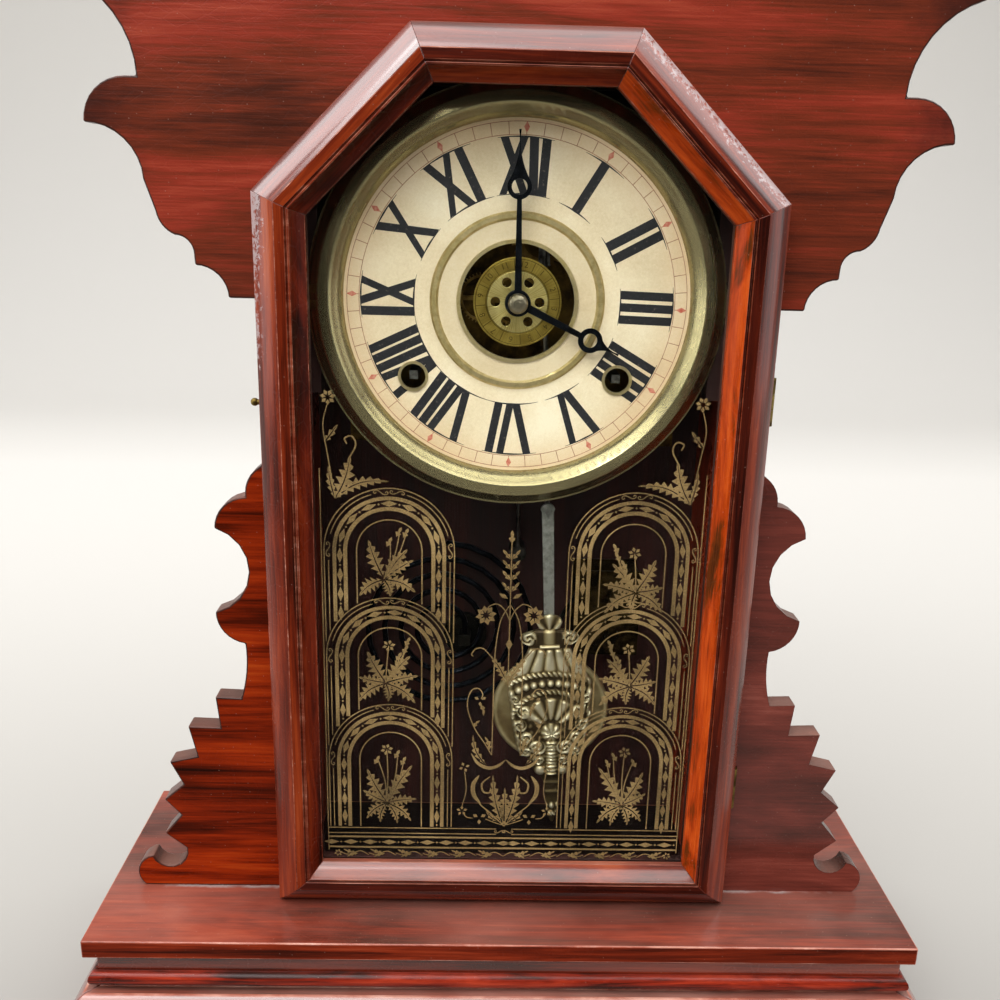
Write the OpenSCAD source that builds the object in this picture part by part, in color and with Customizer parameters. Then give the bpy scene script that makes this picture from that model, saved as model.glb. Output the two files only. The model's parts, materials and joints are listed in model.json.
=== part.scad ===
/* [Base] */
// Height of the whole base, floor to the top of its plate
base_h = 55; // [48:1:70]
// Thickness of the base plate
plate_t = 8.5; // [7:0.5:12]
// Width of the base plate
plate_w = 368; // [352:1:400]
// Plate in front of the crest and wings
plate_front = 39; // [30:1:55]
// Plate behind the back board
plate_margin = 3; // [0:1:20]
// How far the foot stands out past the plate
foot_flare = 8; // [4:0.5:14]
// Thickness of the base boards
base_wall = 12; // [9:0.5:16]
// Radius of the half-round bead under the plate
bead_r = 3.6; // [2.5:0.1:5]
// Height of the recess between plate and bead
recess_h = 9.5; // [6:0.5:12]

/* [Case] */
// Thickness of the box sides and top
side_t = 8; // [6:0.5:12]
// Thickness of the back board
back_t = 6; // [4:0.5:10]
// Thickness of the crest and wing boards
front_t = 9.5; // [7:0.5:12]

/* [Door] */
// How far the door laps over each box side
door_lap = 3; // [2:0.5:6]
// Height from bottom to top
door_h = 374; // [350:1:410]
// Length of the flat top edge
door_top_w = 85.2; // [76:0.2:96]
// Thickness of the door
door_t = 15.8; // [14:0.1:19]
// Width of the moulding
moulding_w = 20.4; // [19:0.1:22]
// Thickness of the glass
glass_t = 2; // [1.5:0.1:3]
// Thickness of the glazing strips
strip_t = 4; // [2:0.1:4.5]
// Gap between the door and the case front
door_gap = 1.2; // [1:0.1:1.6]
// Gap between the door and the base plate
door_rise = 1; // [0.6:0.1:3]
// Height of one hinge
hinge_h = 20; // [15:1:30]
// Height of the lower hinge above the plate
hinge_low_z = 46.5; // [30:0.5:80]
// Gap between the upper hinge and the crest's foot
hinge_drop = 27; // [5:0.5:40]
// Radius of the hinge knuckles
knuckle_r = 1.9; // [1.6:0.05:2.2]
// Radius of the hinge pins
hinge_pin_r = 0.8; // [0.6:0.05:1]
// Catch and pull below the crest's foot
catch_drop = 40.5; // [10:0.5:50]
// Radius of the catch stud
catch_r = 1.4; // [1:0.1:1.8]

/* [Dial] */
// Gap between the top of the bezel and the door top
dial_top_gap = 14.5; // [14:0.5:20]
// Outer diameter of the bezel
bezel_d = 174; // [166:0.5:190]
// Gap between the bezel and the box sides
ear_room = 5; // [4:0.5:10]
// Height of the bezel's ridge in front of the paper
bezel_lift = 6.4; // [4:0.1:8]
// Diameter of the paper that shows
paper_d = 143.4; // [136:0.2:150]
// Depth of the paper behind the case front
dial_set = 13.4; // [13:0.1:14.5]
// Diameter of the centre hole
centre_hole_d = 47.2; // [42:0.2:56]
// Middle of the embossed ring
ring_d = 69; // [66:0.5:76]
// Distance of each winding hole from the middle
wind_x = 43; // [42:0.5:46]
// Drop of the winding holes below the middle
wind_drop = 31.7; // [31:0.1:34]
// Radius of the winding holes
wind_r = 5.2; // [4.5:0.1:6]

/* [Hands] */
// Length of the minute hand
minute_len = 66.8; // [58:0.2:69]
// Length of the hour hand
hour_len = 47.2; // [43:0.2:54]
// Where the minute hand points, clockwise from the top
minute_angle = -0.8; // [-180:0.1:180]
// Where the hour hand points, clockwise from the top
hour_angle = 115.8; // [-180:0.1:180]
// Thickness of the hands
hand_t = 1; // [0.6:0.1:1.4]
// Diameter of the alarm disc
alarm_disc_d = 36.4; // [30:0.2:41]
// Radius of the minute arbor
minute_r = 1.7; // [1.4:0.05:1.8]
// Outer radius of the hour pipe
hour_pipe_r = 3.2; // [2.8:0.05:3.4]

/* [Movement] */
// Space between the dial paper's front and the movement
motion_room = 18.6; // [18.6:0.2:22]
// Space between the movement plates
plate_gap = 26; // [26:0.25:32]
// Thickness of the movement plates
movement_plate_t = 2; // [1.5:0.1:2.5]
// Depth of the rails behind the movement
rail_d = 9; // [8:0.5:14]
// Half width of the movement plates
movement_half_w = 72; // [72:0.5:80]
// Radius of the plate pillars
pillar_r = 3; // [2.4:0.1:3.6]
// Radius of the winding arbors
wind_arbor_r = 2.5; // [2.2:0.05:3]
// Radius of the wheel pivots
pivot_r = 1; // [0.8:0.05:1.2]
// Radial play of a shaft in its hole
play = 0.05; // [0.02:0.01:0.08]

/* [Pendulum] */
// Pendulum hangs this far right of the dial's middle
pend_x = 9; // [9:0.25:12]
// Height of its pivot above the dial's middle
pend_rise = 64; // [62:0.5:66]
// Depth of the rod behind the case front
pend_set = 24.5; // [24:0.1:24.8]
// Lean at rest, towards the viewer's right
pend_tilt = 2.8; // [0:0.1:3.5]
// Radius of the suspension rod
rod_r = 1.1; // [0.8:0.05:1.2]
// Gap between the bob's tail and the base plate
bob_floor = 22.5; // [10:0.5:26]
// Hook to the middle of the bob
bob_drop = 97; // [92:1:100]
// Diameter of the bob
bob_d = 55; // [48:0.5:60]
// Thickness of the bob
bob_t = 11; // [7:0.5:12]

/* [Strike] */
// Outer diameter of the gong at its wire's middle
gong_d = 90; // [80:1:92]
// Diameter of the gong wire
gong_wire = 3; // [2.4:0.1:3.6]
// Turns of the gong
gong_turns = 4.25; // [3.25:1:4.25]
// Gong's middle left of the dial's middle
gong_x = 30; // [29:0.5:34]
// Gong's middle below the dial's middle
gong_drop = 166.5; // [166:0.5:176]
// Hammer arbor below the dial's middle
hammer_drop = 44; // [44:0.5:46]
// Length of the hammer from its arbor to its head
hammer_len = 79.5; // [77:0.5:81]
// Radius of the hammer head
hammer_head_r = 4; // [3:0.1:4.4]

/* [Alarm] */
// Alarm frame right of the dial's middle
alarm_x = 50; // [49:0.5:55]
// Alarm frame's middle below the dial's middle
alarm_drop = 153.5; // [148:0.5:156]

/* [Hidden] */
$fn = 48;

// Stained wood, brass, steel and the rest, as they show
wood_red = "#6b2018";
wood_dark = "#3a1610";
wood_plain = "#7a5a3c";
brass_old = "#8d7b45";
brass_bright = "#b59a55";
steel_dark = "#2a2a2c";
steel_grey = "#8d8d88";
paper_cream = "#e3d3ae";
tin_grey = "#9a9890";
iron_black = "#242322";
bob_silver = "#b5ab92";
glass_tint = [0.85, 0.92, 0.9, 0.3];

// Segments in each drawn arc
arc_steps = 8;
// Tangent of half the angle at the door's slanted corners
corner_k = tan(22.5);

// Heights above the plate and depths behind the case front
plate_top = base_h;
bezel_r = bezel_d / 2;
paper_r = paper_d / 2;
case_half = bezel_r + ear_room;
case_in_w = 2 * case_half;
case_out = case_half + side_t;
door_half = case_out + door_lap;
door_top_z = door_rise + door_h;
shoulder_z = door_top_z - (door_half - door_top_w / 2);
dial_z = door_top_z - dial_top_gap - bezel_r;
movement_set = dial_set + motion_room;
front_in = movement_set + movement_plate_t;
back_y = front_in + plate_gap;
back_out = back_y + movement_plate_t;
case_depth = back_out + rail_d;
plate_back = case_depth + back_t + plate_margin;
face_y = (plate_front + foot_flare - plate_back) / 2;
box_in_z = dial_z + bezel_r + 1.5;
box_h = box_in_z + side_t;
crest_foot = dial_z;
door_front = -(door_gap + door_t);

// Base profile
base_body_h = base_h - plate_t;
bead_set = bead_r + 0.9;
base_inner = bead_set + base_wall;
ledge_z = base_body_h - recess_h - 2 * bead_r - 1.5;
foot_edge_h = 9;
ledge_out = 0.8;
foot_bulge = 3;
base_half = plate_w / 2 + foot_flare;
base_front_y = -(plate_front + foot_flare);
mitre_d = foot_flare + base_inner + 1;

// Door section, from the outer edge inwards
rebate_w = 4;
ovolo_w = 9.5;
ovolo_d = 6.5;
quirk = 0.5;
flat_w = 4.1;
groove_w = 0.8;
groove_d = 1;
lip_d = 6.5;
lip_t = 2.5;
glass_y = door_front + lip_d + lip_t;
glass_play = 0.3;
strip_w = 3.5;

// Hinges
hinge_high_z = crest_foot - hinge_drop - hinge_h;
leaf_t = 1;
leaf_in = 6;
hinge_x = door_half + knuckle_r - 0.3;
hinge_y = -leaf_t - 0.1;
knuckle_room = 0.3;

// Catch and pull
catch_z = crest_foot - catch_drop;
catch_x = case_half + side_t / 2;
catch_reach = 5;
catch_bush_d = 8;
pull_reach = 4.2;
pull_r = 1.1;
pull_y = -6;

// Dial layers
paper_t = 0.4;
tin_t = 0.8;
tin_y = dial_set + paper_t;
flange_y = tin_y + tin_t;
flange_t = 0.8;
paper_edge = 1.5;
ring_w = 3.5;
ring_h = 1;
eyelet_w = 1.2;
eyelet_t = 0.6;
rim_w = 1.6;
dial_play = 0.4;
ear_w = ear_room - dial_play;
ear_h = 14;
dial_screw_r = 1.2;
batten_y = flange_y + flange_t;
batten_t = 10;
batten_w = 10;

// Depths of the hands and the motion work
minute_hand_y = dial_set - 7.8;
hour_hand_y = dial_set - 4.6;
alarm_disc_y = dial_set - 1.4;
hour_wheel_y = movement_set - 12;
minute_wheel_y = movement_set - 3;
boss_r = 5.3;
nut_r = 4.1;
nut_h = 2.8;
arbor_tip_y = minute_hand_y - 1.2;

// Toothed wheels: shares of the module and of the tooth pitch
tooth_root = 1.25;
tooth_tip = 0.7;
root_share = 0.22;
tip_share = 0.11;
trundle_share = 0.45;
minute_mod = 0.5;
cannon_n = 14;
minute_n = 42;
minute_pinion_n = 10;
hour_n = 40;
motion_d = minute_mod * (cannon_n + minute_n) / 2;
hour_mod = 2 * motion_d / (minute_pinion_n + hour_n);
pinion_n = 8;
main_n = 60;
main_mod = 0.9;
second_n = 56;
second_mod = 0.7;
third_n = 48;
third_mod = 0.6;
ratchet_n = 12;

// Angles from each wheel to the next, time side; the strike side mirrors the first two
time_angles = [100, 125, 150];
strike_angles = [80, 55, 60];

// Depths inside the movement
spring_y = front_in + 2.5;
spring_t = 8.5;
ratchet_y = front_in + 12;
ratchet_t = 1.6;
main_y = front_in + 15;
main_t = 1.8;
second_pinion_y = front_in + 13.5;
second_y = front_in + 20.5;
third_pinion_y = front_in + 19;
third_y = front_in + 6.5;
last_pinion_y = front_in + 4.5;
pinion_len = 5;
wheel_t = 1.3;
square_y = flange_y + flange_t + 1.6;
square_w = 3.6;
escape_y = movement_set - 4;
escape_r = 13;
escape_n = 24;
spring_w = 0.8;
spring_turns = 6;
spring_in_r = wind_arbor_r + 1.6;
spring_out_r = 24;
plate_edge = 5.3;
plate_low = -wind_drop - main_n * main_mod / 2 - plate_edge;
plate_high = 44;
tab_high = pend_rise + 8;
tab_half = 24;
pillar_x = movement_half_w - 6;
pillar_zs = [plate_low + 6, plate_high - 8];
screw_x = 55;
screw_zs = [plate_low + 8, plate_high - 5];
screw_r = 1.6;
screw_head_r = 3;
screw_head_t = 1.8;
rail_h = 10;
rail_half_w = 76;

// Escapement and pendulum
escape_gap = 18.5;
crutch_z = pend_rise - 50;
crutch_t = 1.4;
crutch_y = escape_y - crutch_t - 0.6;
stem_w = 5.4;
stem_t = 1.6;
hook_r = 1.3;
stem_y = pend_set - rod_r - 0.4 - stem_t;
bob_y = stem_y + stem_t / 2;
tail_len = 61;
hook_drop = dial_z + pend_rise - bob_drop - tail_len - bob_floor;
lens_bulge = bob_t / 9;

// Strike and alarm
gong_z = dial_z - gong_drop;
alarm_z = dial_z - alarm_drop;
gong_y = back_y + 2;
gong_in_r = 10;
gong_rings = 24;
gong_sides = 6;
gong_block_w = 6;
hammer_x = 5;
hammer_y = back_y - 3;
alarm_w = 32;
alarm_h = 44;
alarm_front_y = back_y - 8;
alarm_plate_t = 1.5;
alarm_wheel_r = 12;
alarm_wheel_n = 30;
alarm_pivot = [-10, 14];
alarm_wheel_at = [2, -5];
alarm_head_at = [-25.5, -13];
alarm_head_r = 3;

// Points of an arc from p to q without q, bulging sag to the right of travel
function arc_points(p, q, sag) =
    sag == 0 ? [[p[0], p[1]]] :
    let (
        dx = q[0] - p[0],
        dz = q[1] - p[1],
        c = sqrt(dx * dx + dz * dz),
        r = (c * c / 4 + sag * sag) / (2 * abs(sag)),
        s = sign(sag),
        back = (sag - s * r) / c,
        cx = (p[0] + q[0]) / 2 + dz * back,
        cz = (p[1] + q[1]) / 2 - dx * back,
        start = atan2(p[1] - cz, p[0] - cx),
        half = asin(min(1, c / (2 * r))),
        sweep = s * (abs(sag) > r ? 360 - 2 * half : 2 * half)
    )
    [for (i = [0 : arc_steps - 1])
        let (a = start + sweep * i / arc_steps) [cx + r * cos(a), cz + r * sin(a)]];

// Open path through rows of [x, z, bulge to the next row]
function open_path(rows) = concat(
    [for (i = [0 : len(rows) - 2]) each arc_points(rows[i], rows[i + 1], rows[i][2])],
    [[rows[len(rows) - 1][0], rows[len(rows) - 1][1]]]
);

// Closed outline through the same kind of rows
function outline(rows) =
    [for (i = [0 : len(rows) - 1]) each arc_points(rows[i], rows[(i + 1) % len(rows)], rows[i][2])];

// Both halves of a path that starts and ends on the centre line
function both_sides(pts) = concat(pts, [for (i = [len(pts) - 2 : -1 : 1]) [-pts[i][0], pts[i][1]]]);

// Rows moved by an offset
function shifted(rows, dx, dz) = [for (r = rows) [r[0] + dx, r[1] + dz, r[2]]];

// Place reached from p over distance d at angle a
function step_from(p, d, a) = [p[0] + d * cos(a), p[1] + d * sin(a)];

// Corners of the door's outline, moved in by w
function door_ring(w) = [
    [-door_half + w, door_rise + w],
    [door_half - w, door_rise + w],
    [door_half - w, shoulder_z - w * corner_k],
    [door_top_w / 2 - w * corner_k, door_top_z - w],
    [-door_top_w / 2 + w * corner_k, door_top_z - w],
    [-door_half + w, shoulder_z - w * corner_k]
];

// Centres of a train: main, second, third and last arbor
function mesh_d(n, mod) = mod * (n + pinion_n) / 2;
function train(side, angles) =
    let (
        a = [side * wind_x, -wind_drop],
        b = step_from(a, mesh_d(main_n, main_mod), angles[0]),
        c = step_from(b, mesh_d(second_n, second_mod), angles[1]),
        d = step_from(c, mesh_d(third_n, third_mod), angles[2])
    ) [a, b, c, d];
time_train = train(1, time_angles);
strike_train = train(-1, strike_angles);
verge_at = [pend_x + 1, time_train[3][1] + escape_gap];
hammer_at = [hammer_x, -hammer_drop];
minute_stud = [-motion_d, 0];
crutch_len = verge_at[1] - crutch_z;
verge_ratio = (pend_rise - crutch_z) / crutch_len;

// Gong path: a flat spiral, then one wire's width straight into the block
gong_pitch = (gong_d / 2 - gong_in_r) / gong_turns;
gong_count = round(gong_rings * gong_turns);
gong_path = concat(
    [for (i = [0 : gong_count])
        let (a = 360 * i / gong_rings - 360 * gong_turns, r = gong_d / 2 - gong_pitch * i / gong_rings)
        [r * cos(a), -r * sin(a)]],
    [[gong_in_r, -gong_wire / 2], [gong_in_r, -gong_wire]]
);
gong_gap = min([for (i = [0 : gong_count], j = [i + gong_rings / 2 : gong_count])
    norm(gong_path[i] - gong_path[j])]) - gong_wire;
echo(gong_least_gap = gong_gap);

// Frames and simple shapes
module face() translate([0, face_y, plate_top]) children();

module dial_frame() face() translate([0, 0, dial_z]) children();

module at(p) translate([p[0], 0, p[1]]) children();

// A flat piece cut in the front view, from depth y back by t
module slab(y, t) translate([0, y + t, 0]) rotate([90, 0, 0]) linear_extrude(t) children();

// A round bar along the depth
module bar(r, y0, y1) translate([0, y0, 0]) rotate([-90, 0, 0]) cylinder(r = r, h = y1 - y0);

// A ring along the depth
module tube(r, bore, y0, y1) {
    slab(y0, y1 - y0) difference() {
        circle(r);
        circle(bore);
    }
}

// A piece turned about the depth axis from [radius, depth] points
module turned(pts) rotate([90, 0, 0]) rotate_extrude() polygon([for (p = pts) [p[0], -p[1]]]);

// Outline of a toothed wheel
module teeth(n, mod, phase) {
    r = n * mod / 2;
    p = 360 / n;
    marks = [
        [r - tooth_root * mod, -root_share],
        [r + tooth_tip * mod, -tip_share],
        [r + tooth_tip * mod, tip_share],
        [r - tooth_root * mod, root_share]
    ];
    polygon([for (i = [0 : n - 1], m = marks)
        let (a = phase + (i + m[1]) * p) [m[0] * cos(a), m[0] * sin(a)]]);
}

// A toothed wheel with four arms round its bore
module wheel(n, mod, phase, y, t, bore) {
    rim = n * mod / 2 - 3.2 * mod;
    hub = max(bore + 2, rim * 0.3);
    arm = rim * 0.22;
    slab(y, t) difference() {
        teeth(n, mod, phase);
        circle(bore);
        difference() {
            circle(rim);
            circle(hub);
            square([arm, 2 * rim + 1], center = true);
            square([2 * rim + 1, arm], center = true);
        }
    }
}

// A lantern pinion: two shrouds, round trundles and a core
module lantern(n, mod, phase, y, len, core, bore) {
    r = n * mod / 2;
    shroud = 0.6;
    shroud_r = r + trundle_share * mod + 0.5;
    difference() {
        union() {
            bar(shroud_r, y, y + shroud);
            bar(shroud_r, y + len - shroud, y + len);
            bar(core, y, y + len);
            for (i = [0 : n - 1])
                at(step_from([0, 0], r, phase + 360 * i / n)) bar(trundle_share * mod, y, y + len);
        }
        if (bore > 0) bar(bore, y - 1, y + len + 1);
    }
}

// Base: moulded boards run round the front and sides under the plate
module base_section() polygon(outline([
    [-base_inner, 0, 0],
    [foot_flare, 0, 0],
    [foot_flare, foot_edge_h, foot_bulge],
    [ledge_out, ledge_z, 0],
    [-bead_set, ledge_z, 0],
    [-bead_set, base_body_h, 0],
    [-base_inner, base_body_h, 0]
]));

module bead_section() translate([0, base_body_h - recess_h - bead_r]) polygon(outline([
    [-bead_set, -bead_r, bead_r],
    [-bead_set, bead_r, 0]
]));

module front_run() translate([0, face_y, 0]) intersection() {
    translate([base_half, -plate_front, 0]) rotate([90, 0, -90]) linear_extrude(2 * base_half) children();
    linear_extrude(base_h) polygon([
        [-base_half, base_front_y],
        [base_half, base_front_y],
        [base_half - mitre_d, base_front_y + mitre_d],
        [-base_half + mitre_d, base_front_y + mitre_d]
    ]);
}

module side_run() translate([0, face_y, 0]) intersection() {
    translate([plate_w / 2, plate_back, 0]) rotate([90, 0, 0])
        linear_extrude(plate_back - base_front_y) children();
    linear_extrude(base_h) polygon([
        [base_half, base_front_y],
        [base_half, plate_back],
        [base_half - mitre_d, plate_back],
        [base_half - mitre_d, base_front_y + mitre_d]
    ]);
}

module base_front() color(wood_red) front_run() base_section();

module base_returns() color(wood_red) {
    side_run() base_section();
    mirror([1, 0, 0]) side_run() base_section();
    translate([-plate_w / 2 + base_inner, face_y + plate_back - base_wall, 0])
        cube([plate_w - 2 * base_inner, base_wall, base_body_h]);
}

module base_bead() color(wood_dark) {
    front_run() bead_section();
    side_run() bead_section();
    mirror([1, 0, 0]) side_run() bead_section();
}

module base_plate() color(wood_red)
    translate([-plate_w / 2, face_y - plate_front, base_body_h])
        cube([plate_w, plate_front + plate_back, plate_t]);

// Box: sides, top and back; the sides are notched for the crest
module side_board() rotate([90, 0, 90]) linear_extrude(side_t) polygon([
    [0, 0],
    [case_depth, 0],
    [case_depth, box_h],
    [front_t, box_h],
    [front_t, crest_foot],
    [0, crest_foot]
]);

module back_board() color(wood_plain) face()
    translate([-case_out, case_depth, 0]) cube([2 * case_out, back_t, box_h]);

module left_side() color(wood_red) face() difference() {
    translate([-case_out, 0, 0]) side_board();
    at([-catch_x, catch_z]) bar(2 * catch_r, -1, catch_bush_d);
}

module right_side() color(wood_red) face() translate([case_half, 0, 0]) side_board();

module box_top() color(wood_red) face()
    translate([-case_half, front_t, box_in_z]) cube([case_in_w, case_depth - front_t, side_t]);

// Crest: one sawn board with an eight-sided arch over the dial
arch_slope = (bezel_r + 3) * sqrt(2);
crest_arch = [
    [0, box_in_z, 0],
    [dial_z + arch_slope - box_in_z, box_in_z, 0],
    [case_half, dial_z + arch_slope - case_half, 0],
    [case_half, crest_foot, 0]
];
crest_edge = [
    [12.6, 0, -3.66],
    [25.2, 12.5, 0],
    [25.4, 16.7, -2.1],
    [32.5, 23.9, 1.5],
    [39.4, 32.7, 0],
    [43.3, 44.5, -6.06],
    [64.4, 64.7, 4.98],
    [47.4, 81.5, 0],
    [43.2, 81.5, -7.15],
    [69, 116.1, 4.2],
    [65.5, 126, -9],
    [25, 150.5, 0],
    [25, 155, 3.8],
    [12, 168, 0],
    [7, 168, -7],
    [-17, 192, 0],
    [-17, 195.5, 3.8],
    [-30, 208.5, 0],
    [-36, 208.5, -2.9],
    [-46, 218.5, 5.7]
];
crown_h = 240.5;

module crest() color(wood_red) face() slab(0, front_t) polygon(both_sides(open_path(concat(
    crest_arch,
    shifted(crest_edge, door_half, crest_foot),
    [[0, crest_foot + crown_h, 0]]
))));

// Wings: sawn boards beside the box, with scrolls above and teeth below
wing_edge = [
    [65, 0, 5.2],
    [60.4, 16, -7.7],
    [44.7, 20.1, 0],
    [54.2, 27.9, 0],
    [46.1, 37.6, 0],
    [53.3, 45.7, 0],
    [44.1, 53.6, 0],
    [49.7, 65.2, 0],
    [36.9, 68.2, 0],
    [40.3, 83.3, 0],
    [25.8, 82.8, 0],
    [27.3, 98, 0],
    [15.7, 97.6, -1.3],
    [12.8, 124, 3.7],
    [25, 138.9, -14.5],
    [23.6, 177, 3.9],
    [9.8, 191.2, 2.2],
    [3, 204.5, 0.8]
];
wing_h = 208;

module wing_board() slab(0, front_t) polygon(outline(concat(
    [[case_out, 0, 0]],
    shifted(wing_edge, door_half, 0),
    [[case_out, wing_h, 0]]
)));

module left_wing() color(wood_red) face() mirror([1, 0, 0]) wing_board();

module right_wing() color(wood_red) face() difference() {
    wing_board();
    hinge_room();
}

// Inside: battens for the dial and rails for the movement
module case_battens() color(wood_plain) face() {
    difference() {
        for (s = [-1, 1])
            translate([s * (case_half - batten_w / 2), batten_y + batten_t / 2, dial_z])
                cube([batten_w, batten_t, 80], center = true);
        translate([0, 0, dial_z]) dial_screw_spots() bar(dial_screw_r, 0, batten_y + 6);
    }
    for (z = screw_zs) translate([0, 0, dial_z + z]) difference() {
        translate([-rail_half_w, back_out, -rail_h / 2])
            cube([2 * rail_half_w, case_depth - back_out, rail_h]);
        for (s = [-1, 1]) at([s * screw_x, 0]) bar(screw_r, back_out - 1, case_depth - 1);
    }
}

// Hinges: case leaves carry the pins, door leaves turn on them
module hinge_spots() for (z = [hinge_low_z, hinge_high_z]) translate([hinge_x, hinge_y, z]) children();

module hinge_room() for (z = [hinge_low_z, hinge_high_z])
    translate([hinge_x, hinge_y, z - knuckle_room])
        cylinder(r = knuckle_r + knuckle_room, h = hinge_h + 2 * knuckle_room);

module leaf(y, parts) {
    third = hinge_h / 3;
    reach = hinge_x - case_half - leaf_in + 4;
    translate([-reach, y - hinge_y, 0])
        cube([reach - knuckle_r - knuckle_room, leaf_t, hinge_h]);
    for (k = parts) translate([0, 0, k * third + (k > 0 ? 0.1 : 0)]) {
        cylinder(r = knuckle_r, h = third - (k == 1 ? 0.2 : 0.1));
        translate([-knuckle_r - knuckle_room - 0.1, y - hinge_y, 0])
            cube([knuckle_r + knuckle_room + 0.1, leaf_t, third - (k == 1 ? 0.2 : 0.1)]);
    }
}

module case_hinge_leaves() color(brass_old) face() hinge_spots() {
    leaf(-leaf_t, [0, 2]);
    cylinder(r = hinge_pin_r, h = hinge_h);
}

module door_hinge_leaves() color(brass_old) face() hinge_spots() difference() {
    leaf(-door_gap - leaf_t, [1]);
    translate([0, 0, -1]) cylinder(r = hinge_pin_r + play, h = hinge_h + 2);
}

// Catch: a bush in the left side takes the stud on the door
module catch_bush() color(brass_old) face() at([-catch_x, catch_z])
    tube(2 * catch_r, catch_r + 0.4, 0, catch_bush_d);

module door_catch() color(brass_old) face() {
    at([-catch_x, catch_z]) {
        bar(catch_r, -door_gap, catch_reach);
        bar(2 * catch_r, -door_gap, -door_gap + 0.6);
    }
    translate([-door_half, pull_y, catch_z]) rotate([0, -90, 0]) {
        cylinder(r = pull_r, h = pull_reach - pull_r);
        translate([0, 0, pull_reach - 1.5 * pull_r]) sphere(r = 1.5 * pull_r);
    }
}

// Door: six mitred mouldings round the glass
module door_section() polygon(outline([
    [0, -door_gap, 0],
    [0, door_front + quirk + ovolo_d, 0.9],
    [ovolo_w, door_front + quirk, 0],
    [ovolo_w, door_front, 0],
    [ovolo_w + flat_w, door_front, 0],
    [ovolo_w + flat_w, door_front + groove_d, 0],
    [ovolo_w + flat_w + groove_w, door_front + groove_d, 0],
    [ovolo_w + flat_w + groove_w, door_front, 0],
    [ovolo_w + flat_w + 2 * groove_w, door_front, -0.6],
    [moulding_w, door_front + lip_d, 0],
    [moulding_w, glass_y, 0],
    [moulding_w - rebate_w, glass_y, 0],
    [moulding_w - rebate_w, -door_gap, 0]
]));

// One length of moulding on side i of the door, mitred at both ends
module door_run(i) {
    outer = door_ring(0);
    inner = door_ring(moulding_w);
    j = (i + 1) % len(outer);
    d = outer[j] - outer[i];
    intersection() {
        translate([outer[j][0], 0, outer[j][1]]) rotate([0, -atan2(d[1], d[0]) - 90, 0])
            linear_extrude(norm(d)) children();
        slab(door_front - 1, door_t + 2) polygon([outer[i], outer[j], inner[j], inner[i]]);
    }
}

module door_bottom_rail() color(wood_red) face() door_run(0) door_section();

module door_right_stile() color(wood_red) face() difference() {
    door_run(1) door_section();
    hinge_room();
    hinge_spots() leaf(-door_gap - leaf_t, []);
    hinge_spots() translate([-knuckle_r - 1, -door_gap - leaf_t - hinge_y, 0])
        cube([knuckle_r + 2, leaf_t + 1, hinge_h]);
}

module door_right_diagonal() color(wood_red) face() door_run(2) door_section();

module door_top_rail() color(wood_red) face() door_run(3) door_section();

module door_left_diagonal() color(wood_red) face() door_run(4) door_section();

module door_left_stile() color(wood_red) face() door_run(5) door_section();

module door_glass() color(glass_tint) face()
    slab(glass_y, glass_t) polygon(door_ring(moulding_w - rebate_w + glass_play));

module glazing_strips() color(wood_plain) face() slab(glass_y + glass_t, strip_t) difference() {
    polygon(door_ring(moulding_w - rebate_w));
    polygon(door_ring(moulding_w - rebate_w + strip_w));
}

// Dial: spun bezel, tin plate, paper, eyelets and screws
function bezel_at(share, lift) = [paper_r + share * (bezel_r - paper_r), dial_set - lift * bezel_lift];
bezel_front = [
    [0, 0], [0.05, 0.3], [0.16, 0.52], [0.27, 0.8], [0.34, 0.98], [0.38, 1],
    [0.62, 0.9], [0.67, 0.8], [0.74, 0.5], [0.84, 0.2], [0.92, 0]
];
bezel_back = [
    [0.8, 0.05], [0.7, 0.35], [0.63, 0.66], [0.6, 0.77], [0.4, 0.87], [0.36, 0.85],
    [0.3, 0.66], [0.21, 0.38], [0.11, 0.2], [0.06, 0]
];

module dial_bezel() color(brass_old) dial_frame() {
    turned(concat(
        [for (p = bezel_front) bezel_at(p[0], p[1])],
        [
            [bezel_r - 0.6, flange_y],
            [bezel_r, flange_y],
            [bezel_r, flange_y + flange_t],
            [bezel_r - 1.4, flange_y + flange_t]
        ],
        [for (p = bezel_back) bezel_at(p[0], p[1])]
    ));
    for (s = [-1, 1]) slab(flange_y, flange_t) difference() {
        translate([s * (bezel_r + ear_w / 2 - 1), 0]) square([ear_w + 2, ear_h], center = true);
        circle(bezel_r - 1);
        for (z = [-1, 1]) translate([s * (bezel_r + ear_w / 2), z * ear_h / 4]) circle(dial_screw_r);
    }
}

module dial_screw_spots() for (x = [-1, 1], z = [-1, 1])
    at([x * (bezel_r + ear_w / 2), z * ear_h / 4]) children();

module dial_holes() {
    circle(centre_hole_d / 2 + eyelet_t);
    for (s = [-1, 1]) translate([s * wind_x, -wind_drop]) circle(wind_r + eyelet_t);
}

module dial_plate() color(tin_grey) dial_frame() slab(tin_y, tin_t) difference() {
    circle(paper_r + 5);
    dial_holes();
}

module dial_paper() color(paper_cream) dial_frame() slab(dial_set, paper_t) difference() {
    circle(paper_r + paper_edge);
    dial_holes();
}

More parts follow.
